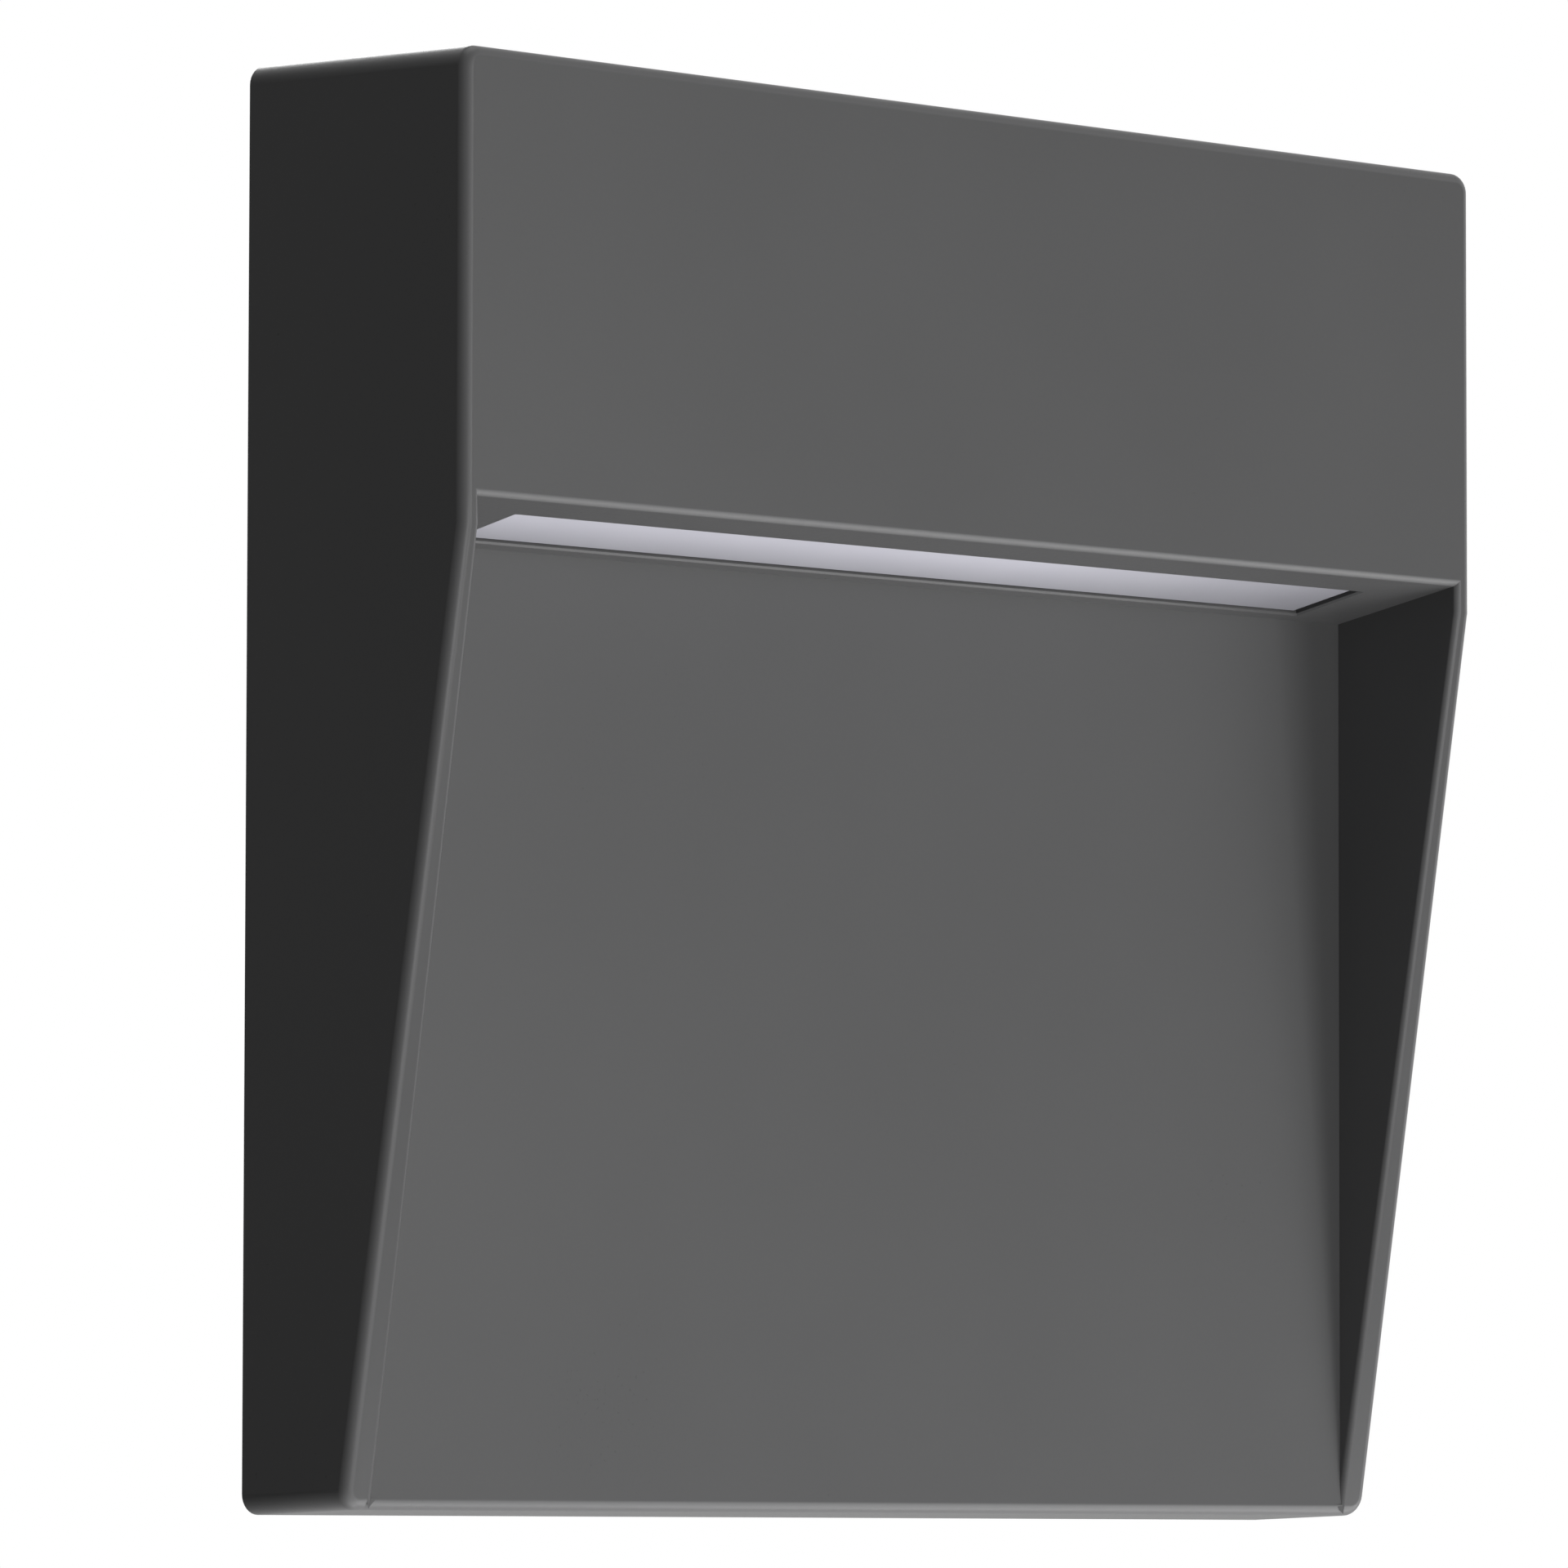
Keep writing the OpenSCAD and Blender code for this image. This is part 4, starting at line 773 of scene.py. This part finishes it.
class StepLightHood(bpy.types.Operator):
    """Models the die-cast hood: drafted block, recess between sloping walls, slot and hollow"""

    bl_idname = "step_light.hood"
    bl_label = "Hood"

    def execute(self, context):
        form = HoodForm()
        shape = bmesh.new()
        self.block(shape, form)
        self.recess(shape, form)
        self.hollow(shape, form)
        self.roundings(shape, form)
        self.mark_roundings(shape)
        self.slot(shape, form)
        self.screw_holes(shape, form)
        face_outward(shape)
        self.inside(shape, form)
        smooth_but(shape, HOOD_SHARP)
        made = make_material("hood_coat", powder_coat, tuple(settings().colours.coat))
        even_normals(finish_piece("hood", shape, made, "housing"))
        return {"FINISHED"}

    def block(self, shape, form):
        """Drafted block with the slope of its lower front"""
        bmesh.ops.create_cube(shape, size=1.0)
        for vert in shape.verts:
            at_wall = vert.co.y > 0
            half = form.half if at_wall else form.front_half
            vert.co = (math.copysign(half, vert.co.x), 0.0 if at_wall else -form.depth,
                       math.copysign(half, vert.co.z))
        slope = Vector((0, form.foot_z - form.slope_z, -form.recess))
        cut = bmesh.ops.bisect_plane(
            shape, geom=[*shape.verts, *shape.edges, *shape.faces], dist=CUT_REACH,
            clear_outer=True, plane_co=(0, -form.depth, form.slope_z), plane_no=slope)["geom_cut"]
        rim = [part for part in cut if isinstance(part, bmesh.types.BMEdge)]
        bmesh.ops.contextual_create(shape, geom=rim)
        face_outward(shape)

    def recess(self, shape, form):
        """Cut the front away below the lip and close it with underside, panel and inner walls."""
        front = [face for face in shape.faces if face.normal.y < -STRAIGHT]
        split_faces(shape, front, (0, 0, form.lip_z), (0, 0, 1))
        draft = form.hood.inner_draft
        for side in (-1, 1):
            split_faces(shape, self.below_lip(shape, form),
                        (side * form.wall_half, -form.depth, 0),
                        (side * math.cos(draft), math.sin(draft), 0))
        middle = [face for face in self.below_lip(shape, form)
                  if abs(face.calc_center_median().x) < form.panel_half / 2]
        bmesh.ops.delete(shape, geom=middle, context="FACES")
        lip = [edge for edge in shape.edges if edge.is_boundary
               and all(abs(vert.co.z - form.lip_z) < NEAR for vert in edge.verts)]
        foot_y = -form.hood.foot_depth
        for edge in draw_ring(shape, lip, (0, 0, 0)):
            for vert in edge.verts:
                vert.co = (math.copysign(form.panel_half, vert.co.x), foot_y, form.root_z)
        roots, feet = ([nearest(shape, (side * form.panel_half, foot_y, z)) for side in (-1, 1)]
                       for z in (form.root_z, form.foot_z))
        bmesh.ops.contextual_create(shape, geom=[feet[0], feet[1], roots[1], roots[0]])
        for side, root, foot in zip((-1, 1), roots, feet):
            top = [nearest(shape, (side * form.wall_half, -form.depth, z))
                   for z in (form.lip_z, form.slope_z)]
            bmesh.ops.contextual_create(shape, geom=[*top, foot, root])
        face_outward(shape)
        flat = [edge for edge in shape.edges if edge.calc_face_angle() < FLAT_EDGE]
        bmesh.ops.dissolve_edges(shape, edges=flat, use_verts=False)

    def below_lip(self, shape, form):
        """The front and the slope below the lip"""
        return [face for face in shape.faces
                if face.normal.y < FRONT_TILT and face.calc_center_median().z < form.lip_z]

    def hollow(self, shape, form):
        """Rim, ledge and the hollow with its step behind the underside"""
        hood = form.hood
        back = max(shape.faces, key=lambda face: face.normal.y)
        inset(shape, back, hood.rim)
        draw_face(shape, back, (0, -hood.seat, 0))
        corner = form.half - hood.rim
        corners = [edge for edge in shape.edges
                   if abs(edge.verts[0].co.y - edge.verts[1].co.y) > NEAR
                   and all(abs(abs(vert.co.x) - corner) < NEAR
                           and abs(abs(vert.co.z) - corner) < NEAR for vert in edge.verts)]
        round_edges(shape, corners, hood.inside_radius, CORNER_STEPS)
        ledge = next(face for face in shape.faces if face.normal.y > STRAIGHT
                     and all(abs(vert.co.y + hood.seat) < NEAR for vert in face.verts))
        inset(shape, ledge, hood.ledge)
        panel_y = form.inner_panel_y
        floor = draw_face(shape, ledge, (0, panel_y + hood.seat, 0))
        knee_z = form.inner_z(panel_y)
        split_faces(shape, [floor], (0, 0, knee_z), (0, 0, 1))
        upper = next(face for face in shape.faces if face.calc_center_median().z > knee_z
                     and all(abs(vert.co.y - panel_y) < NEAR for vert in face.verts))
        upper = draw_face(shape, upper, (0, form.inner_front_y - panel_y, 0))
        for vert in upper.verts:
            if abs(vert.co.z - knee_z) < NEAR:
                vert.co.z = form.inner_z(form.inner_front_y)

    def roundings(self, shape, form):
        """Round the edges: corners first, then lip and inner edges, then all round the front."""
        edge_x = form.front_half - NEAR
        corners = [edge for edge in shape.edges if edge.verts[0].co.y != edge.verts[1].co.y
                   and all(min(abs(vert.co.x), abs(vert.co.z)) > edge_x for vert in edge.verts)]
        round_edges(shape, corners, form.hood.corner_radius, CORNER_STEPS)
        inner = [edge for edge in shape.edges if edge.is_convex
                 and all(abs(vert.co.x) < form.wall_half + NEAR
                         and vert.co.z < form.lip_z + NEAR for vert in edge.verts)
                 and min(vert.co.y for vert in edge.verts) < -form.depth + NEAR]
        round_edges(shape, inner, form.hood.lip_radius, LIP_STEPS)
        front = [edge for edge in shape.edges if edge.is_convex and self.is_front_edge(edge, form)]
        round_edges(shape, front, form.hood.edge_radius, CORNER_STEPS)

    def mark_roundings(self, shape):
        """Note where the roundings are, for the coat's painted highlight: 1 inside them, 0 on flats
        and their edges.
        """
        shape.normal_update()
        layer = shape.verts.layers.float.new("rounding")
        flats = [face.normal.copy() for face in shape.faces if face.calc_area() > FLAT_AREA]
        for vert in shape.verts:
            on_flat = any((face.normal - flat).length < SAME_WAY
                          for face in vert.link_faces for flat in flats)
            vert[layer] = 0.0 if on_flat else 1.0

    def is_front_edge(self, edge, form):
        """True for the edges between the front or slope and the outer sides"""
        tilts = sorted(face.normal.y for face in edge.link_faces)
        if tilts[0] > FRONT_TILT or tilts[-1] < SIDE_TILT:
            return False
        middle = (edge.verts[0].co + edge.verts[1].co) / 2
        return (abs(middle.x) > form.front_half - form.hood.corner_radius
                or middle.z > form.lip_z + form.hood.face_height / 2
                or middle.z < form.foot_z + FOOT_REACH)

    def slot(self, shape, form):
        """Light slot through the underside, with its edge broken"""
        lens = settings().lens
        down = (form.underside.to_3x3() @ Vector((0, 0, -1))).normalized()
        skins = [largest(face for face in shape.faces if (face.normal - way).length < SAME_WAY)
                 for way in (down, -down)]
        broken = lens.slot_bevel
        mouth = long_ring(shape, form.underside, form.slot_half + broken,
                          lens.slot_start - broken, form.slot_end + broken)

        def slot_ring(height):
            return long_ring(shape, form.underside @ Matrix.Translation((0, 0, height)),
                             form.slot_half, lens.slot_start, form.slot_end)

        inside = slot_ring(form.hood.underside_wall)
        open_face(shape, skins[0], mouth)
        open_face(shape, skins[1], inside)
        throat = slot_ring(broken)
        bmesh.ops.bridge_loops(shape, edges=mouth + throat)
        bmesh.ops.bridge_loops(shape, edges=throat + inside)

    def screw_holes(self, shape, form):
        """Stepped holes in the top for the two screws"""
        screws = settings().screws
        ceiling_z = form.hollow_half
        top = largest(face for face in shape.faces if face.normal.z > STRAIGHT)
        ceiling = largest(face for face in shape.faces if face.normal.z < -STRAIGHT
                          and abs(face.calc_center_median().z - ceiling_z) < NEAR)
        heads, shanks = [], []
        head_radius = screws.head / 2 + screws.room
        shank_radius = screws.thread / 2 + screws.room
        for side in (-1, 1):
            axis = (side * screws.aside, -screws.depth)
            head = round_ring(shape, (*axis, form.half), head_radius)
            for vert in {vert for edge in head for vert in edge.verts}:
                vert.co.z = form.half + math.tan(form.hood.draft) * vert.co.y
            heads.append(head)
            shanks.append(round_ring(shape, (*axis, ceiling_z), shank_radius))
        open_face(shape, top, *heads)
        open_face(shape, ceiling, *shanks)
        seat_z = form.half - screws.below - screws.seal
        for side, head, shank in zip((-1, 1), heads, shanks):
            axis = (side * screws.aside, -screws.depth)
            seat = round_ring(shape, (*axis, seat_z), head_radius)
            throat = round_ring(shape, (*axis, seat_z), shank_radius)
            for first, second in ((head, seat), (seat, throat), (throat, shank)):
                bmesh.ops.bridge_loops(shape, edges=first + second)

    def inside(self, shape, form):
        """Screw pads, earth boss, ribs and catches behind the front and the panel"""
        hood = form.hood
        panel_y = form.inner_panel_y
        places = [(side * x, form.inner_front_y, z)
                  for x, z in (hood.bracket_pad, hood.driver_pad) for side in (-1, 1)]
        places.append((hood.earth_boss[0], panel_y, hood.earth_boss[1]))
        for x, y, z in places:
            boss(shape, (x, y - SINK, z), FACING_BACK, hood.pad / 2, hood.pad_height + SINK,
                 hood.thread / 2, hood.thread_depth)
        end = form.hollow_half
        rib_low, rib_high = panel_y - SINK, panel_y + hood.rib_height
        half_rib, half_catch = hood.rib_width / 2, hood.catch_width / 2
        soft_block(shape, (-end - SINK, rib_low, -half_rib), (end + SINK, rib_high, half_rib))
        for side in (-1, 1):
            middle = side * (end / 2 + half_rib)
            soft_block(shape, (middle - half_rib, rib_low, -end - SINK),
                       (middle + half_rib, rib_high - RIB_STEP, form.lip_z - hood.rib_gap))
            middle = side * hood.catch_aside
            soft_block(shape, (middle - half_catch, hood.catch_depth[0], -end - SINK),
                       (middle + half_catch, hood.catch_depth[1], -end + hood.catch_height))


HEAD_STEPS = 48                     # sides of a screw head
RIM_STEPS = 4                       # faces across the rounding of its rim
SOCKET_SHARE = 0.27                 # radius of the socket's corners, of the head's diameter
SOCKET_DEPTH = 1.3 * MM
TIP_LENGTH = 0.6 * MM
TIP_SHARE = 0.75                    # of the thread's diameter at the very end
TIP_JOIN = 0.2 * MM                 # how far the tip reaches into the shank
HEAD_JOIN = 0.1 * MM                # how far the shank reaches into the head
SEAL_SPREAD = 0.02 * MM             # how far the pressed seal stands out
SEAL_STEPS = (12, 40)               # faces round the seal's section and round its ring


class StepLightScrews(bpy.types.Operator):
    """Models the two socket screws in the top and the seals under them"""

    bl_idname = "step_light.screws"
    bl_label = "Fixing screws"

    def execute(self, context):
        screws = settings().screws
        steel = bmesh.new()
        seals = bmesh.new()
        seat_z = HOOD_HIGH.z - screws.below
        for side in (-1, 1):
            axis = Matrix.Translation((side * screws.aside, -screws.depth, seat_z))
            self.screw(steel, axis, screws)
            self.seal(seals, axis, screws)
        smooth_but(steel, SHARP)
        smooth_but(seals, SHARP)
        made = make_material("steel_stainless", *FINISHES["steel_stainless"])
        even_normals(finish_piece("socket_screws", steel, made, "fixing_screws"))
        made = make_material("silicone_dark_seals", *FINISHES["silicone_dark"])
        finish_piece("screw_seals", seals, made, "fixing_seals")
        return {"FINISHED"}

    def screw(self, shape, axis, screws):
        """Head with a rounded rim and a hexagon socket, and the shank with its tapered end"""
        half = screws.head / 2
        cone(shape, axis, 0.0, screws.head_height, half, half, HEAD_STEPS)
        top = axis @ Vector((0, 0, screws.head_height))
        round_edges(shape, list(face_at(shape, top).edges), SOFT_EDGE, RIM_STEPS)
        ring = round_ring(shape, top, screws.head * SOCKET_SHARE, 6)
        open_face(shape, face_at(shape, top), ring)
        ring = draw_ring(shape, ring, (0, 0, -SOCKET_DEPTH))
        bmesh.ops.contextual_create(shape, geom=ring)
        shank = screws.thread / 2
        end = -screws.length
        cone(shape, axis, end, end + TIP_LENGTH, shank * TIP_SHARE, shank)
        cone(shape, axis, end + TIP_LENGTH - TIP_JOIN, HEAD_JOIN, shank, shank)

    def seal(self, shape, axis, screws):
        """Flat ring with a round outer edge"""
        radius = (screws.head - screws.thread) / 4 + SEAL_SPREAD
        middle = axis @ Matrix.Translation((screws.thread / 2 + radius, 0, -screws.seal / 2))
        squash = Matrix.Diagonal((radius, 1.0, screws.seal / 2, 1.0)) @ FACING_FRONT
        ring = bmesh.ops.create_circle(shape, segments=SEAL_STEPS[0], radius=1.0,
                                       matrix=middle @ squash)["verts"]
        bmesh.ops.spin(shape, geom=[*ring, *edges_at(ring)], cent=axis.translation,
                       axis=(0, 0, 1), angle=math.tau, steps=SEAL_STEPS[1], use_merge=True)


LENS_STEPS = 5                      # faces across the rounding of the lens's edges
FLANGE_INSET = 1.0 * MM             # between the flange's rim and the land, before it is fitted


class StepLightLens(bpy.types.Operator):
    """Models the frosted strip: a land in the slot on a flange behind it"""

    bl_idname = "step_light.lens"
    bl_label = "Lens"

    def execute(self, context):
        form = HoodForm()
        lens = settings().lens
        flange_low = form.hood.underside_wall + lens.seal_height
        flange_half = form.slot_half + lens.flange_end
        shape = bmesh.new()
        box_between(shape, (-flange_half, lens.slot_start - lens.flange, flange_low),
                    (flange_half, form.slot_end + lens.flange, flange_low + lens.flange_height))
        lower = min(shape.faces, key=lambda face: face.calc_center_median().z)
        inset(shape, lower, FLANGE_INSET)
        middle = lens.slot_start + lens.slot_width / 2
        land = Vector((form.slot_half - lens.end_gap, lens.slot_width / 2 - lens.side_gap))
        for vert in lower.verts:
            vert.co.x = math.copysign(land.x, vert.co.x)
            vert.co.y = middle + math.copysign(land.y, vert.co.y - middle)
        face = draw_face(shape, lower, (0, 0, lens.recess - flange_low))
        rim = [edge for edge in shape.edges if any(vert in face.verts for vert in edge.verts)]
        round_edges(shape, rim, lens.edge_radius, LENS_STEPS)
        bmesh.ops.transform(shape, matrix=form.underside, verts=shape.verts)
        face_outward(shape)
        smooth_but(shape, SHARP)
        made = make_material("lens_frosted", frosted_lens, tuple(settings().colours.lens))
        even_normals(finish_piece("lens_strip", shape, made, "lens"))
        return {"FINISHED"}


class StepLightWorks(bpy.types.Operator):
    """Finishes every other piece by the record's material slots"""

    bl_idname = "step_light.works"
    bl_label = "Works"

    def execute(self, context):
        made = {}
        group = smooth_by_angle()
        for piece in frame["record"]["subparts"]:
            node, slot = piece["node"], piece["material_slot"]
            if node in MODELLED:
                continue
            if slot not in made:
                made[slot] = make_material(slot, *FINISHES[slot])
            thing = bpy.data.objects[node]
            thing.data.materials.clear()
            thing.data.materials.append(made[slot])
            soften(thing, node, group)
        return {"FINISHED"}


def soft_lamp(name, place, target, size, level):
    """Area lamp that faces its target and lights it at this level"""
    lamp = bpy.data.lights.new(name, "AREA")
    lamp.shape = "RECTANGLE"
    lamp.size, lamp.size_y = size
    towards = Vector(target) - Vector(place)
    lamp.energy = level * math.pi ** 2 * towards.length_squared
    thing = bpy.data.objects.new(name, lamp)
    turned = towards.to_track_quat("-Z", "Y").to_matrix().to_4x4()
    thing.matrix_world = Matrix.Translation(place) @ turned
    thing.visible_camera = False
    bpy.context.collection.objects.link(thing)


def white_for_camera(shade, grey, white=1.0):
    """White where it is seen, mirrored or looked at through something; grey as a light"""
    seen = shade.node("ShaderNodeLightPath", out="Is Camera Ray")
    for ray in ("Is Glossy Ray", "Is Transmission Ray"):
        seen = shade.maths("MAXIMUM", seen, shade.node("ShaderNodeLightPath", out=ray))
    return shade.mix(seen, (grey, grey, grey), (white, white, white))


SENSOR = 36.0                       # width of the camera's sensor in millimetres
CLIP_START = 0.01                   # nearest that the camera sees
FLOOR_HALF = 14.0                   # half the side of the floor
FLOOR_GREY = (0.42, 0.42, 0.42)
# Each lamp's name, place, target, width and height. Its level is a setting of the same name.
LAMPS = (
    ("key", (0.66, -1.27, 0.10), FRONT_MIDDLE, (0.4, 0.4)),
    ("low", (0.40, -0.25, -0.36), FRONT_MIDDLE, (0.4, 0.4)),
    ("front", (0.0, -1.2, 0.0), FRONT_MIDDLE, (0.4, 0.4)),
    ("under", (0.03, -0.14, -0.38), FRONT_MIDDLE, (0.3, 0.3)),
    ("edge", (-0.12, -0.90, -0.20), FRONT_MIDDLE, (0.3, 0.1)),
    ("back", (0.45, 1.3, 0.55), WALL_MIDDLE, (1.0, 1.0)),
    ("top", (0.0, -0.1, 1.4), FRONT_MIDDLE, (1.2, 1.0)),
)


class StepLightStage(bpy.types.Operator):
    """Makes the floor, the room, the lamps and the camera"""

    bl_idname = "step_light.stage"
    bl_label = "Stage"

    def execute(self, context):
        studio = settings().studio
        self.floor(studio)
        self.room(studio)
        for name, place, target, size in LAMPS:
            soft_lamp(name + "_lamp", place, target, size, getattr(studio, name + "_level"))
        self.camera(settings().view)
        return {"FINISHED"}

    def floor(self, studio):
        mesh = bpy.data.meshes.new("floor")
        shape = bmesh.new()
        bmesh.ops.create_grid(shape, x_segments=1, y_segments=1, size=FLOOR_HALF)
        bmesh.ops.translate(shape, vec=(0, 0, -studio.floor_drop), verts=shape.verts)
        shape.to_mesh(mesh)
        shape.free()
        floor = bpy.data.objects.new("floor", mesh)
        bpy.context.collection.objects.link(floor)
        mesh.materials.append(make_material("floor_pale", self.floor_finish, studio.floor_white))

    def floor_finish(self, shade, white):
        return {
            "Base Color": FLOOR_GREY,
            "Roughness": 0.8,
            "Specular IOR Level": 0.1,
            "Emission Color": white_for_camera(shade, 0.0, white),
            "Emission Strength": 1.0,
        }

    def room(self, studio):
        world = bpy.data.worlds.new("room")
        world.use_nodes = True
        bpy.context.scene.world = world
        shade = Shade(world.node_tree)
        shown = white_for_camera(shade, studio.room_level)
        world.node_tree.links.new(shown.socket, world.node_tree.nodes["Background"].inputs["Color"])

    def camera(self, view):
        ahead = Vector((-math.sin(view.turn) * math.cos(view.tilt),
                        math.cos(view.turn) * math.cos(view.tilt), math.sin(view.tilt)))
        level = Vector((math.cos(view.turn), math.sin(view.turn), 0.0))
        over = level.cross(ahead)
        right = math.cos(view.roll) * level + math.sin(view.roll) * over
        up = math.cos(view.roll) * over - math.sin(view.roll) * level
        place = (Vector(FRONT_MIDDLE) - view.aside * right - view.above * up
                 - view.distance * ahead)
        data = bpy.data.cameras.new("camera")
        data.sensor_width = SENSOR
        data.lens = view.lens
        data.clip_start = CLIP_START
        camera = bpy.data.objects.new("camera", data)
        turned = Matrix((right, up, -ahead)).transposed().to_4x4()
        camera.matrix_world = Matrix.Translation(place) @ turned
        bpy.context.collection.objects.link(camera)
        bpy.context.scene.camera = camera


OPERATORS = (StepLightHood, StepLightLens, StepLightScrews, StepLightWorks, StepLightStage)


class StepLightPanel(bpy.types.Panel):
    """Lists the sizes, the colours and the steps that build the light"""

    bl_idname = "VIEW3D_PT_step_light"
    bl_label = "Step light"
    bl_space_type = "VIEW_3D"
    bl_region_type = "UI"
    bl_category = "Step light"

    def draw(self, context):
        made = settings()
        for group in (made.hood, made.lens, made.screws, made.colours, made.view, made.studio):
            box = self.layout.box()
            for name in group.__annotations__:
                box.prop(group, name)
        for step in OPERATORS:
            self.layout.operator(step.bl_idname)


CLASSES = (StepLightHoodSizes, StepLightLensSizes, StepLightScrewSizes, StepLightColours,
           StepLightView, StepLightStudio, StepLightProperties, *OPERATORS, StepLightPanel)


def register():
    for kind in CLASSES:
        bpy.utils.register_class(kind)
    bpy.types.Scene.step_light = bpy.props.PointerProperty(type=StepLightProperties)


def unregister():
    del bpy.types.Scene.step_light
    for kind in reversed(CLASSES):
        bpy.utils.unregister_class(kind)


def main():
    register()
    bpy.context.scene.view_settings.view_transform = "Standard"
    bpy.ops.step_light.hood()
    bpy.ops.step_light.lens()
    bpy.ops.step_light.screws()
    bpy.ops.step_light.works()
    bpy.ops.step_light.stage()


if __name__ == "__main__":
    main()
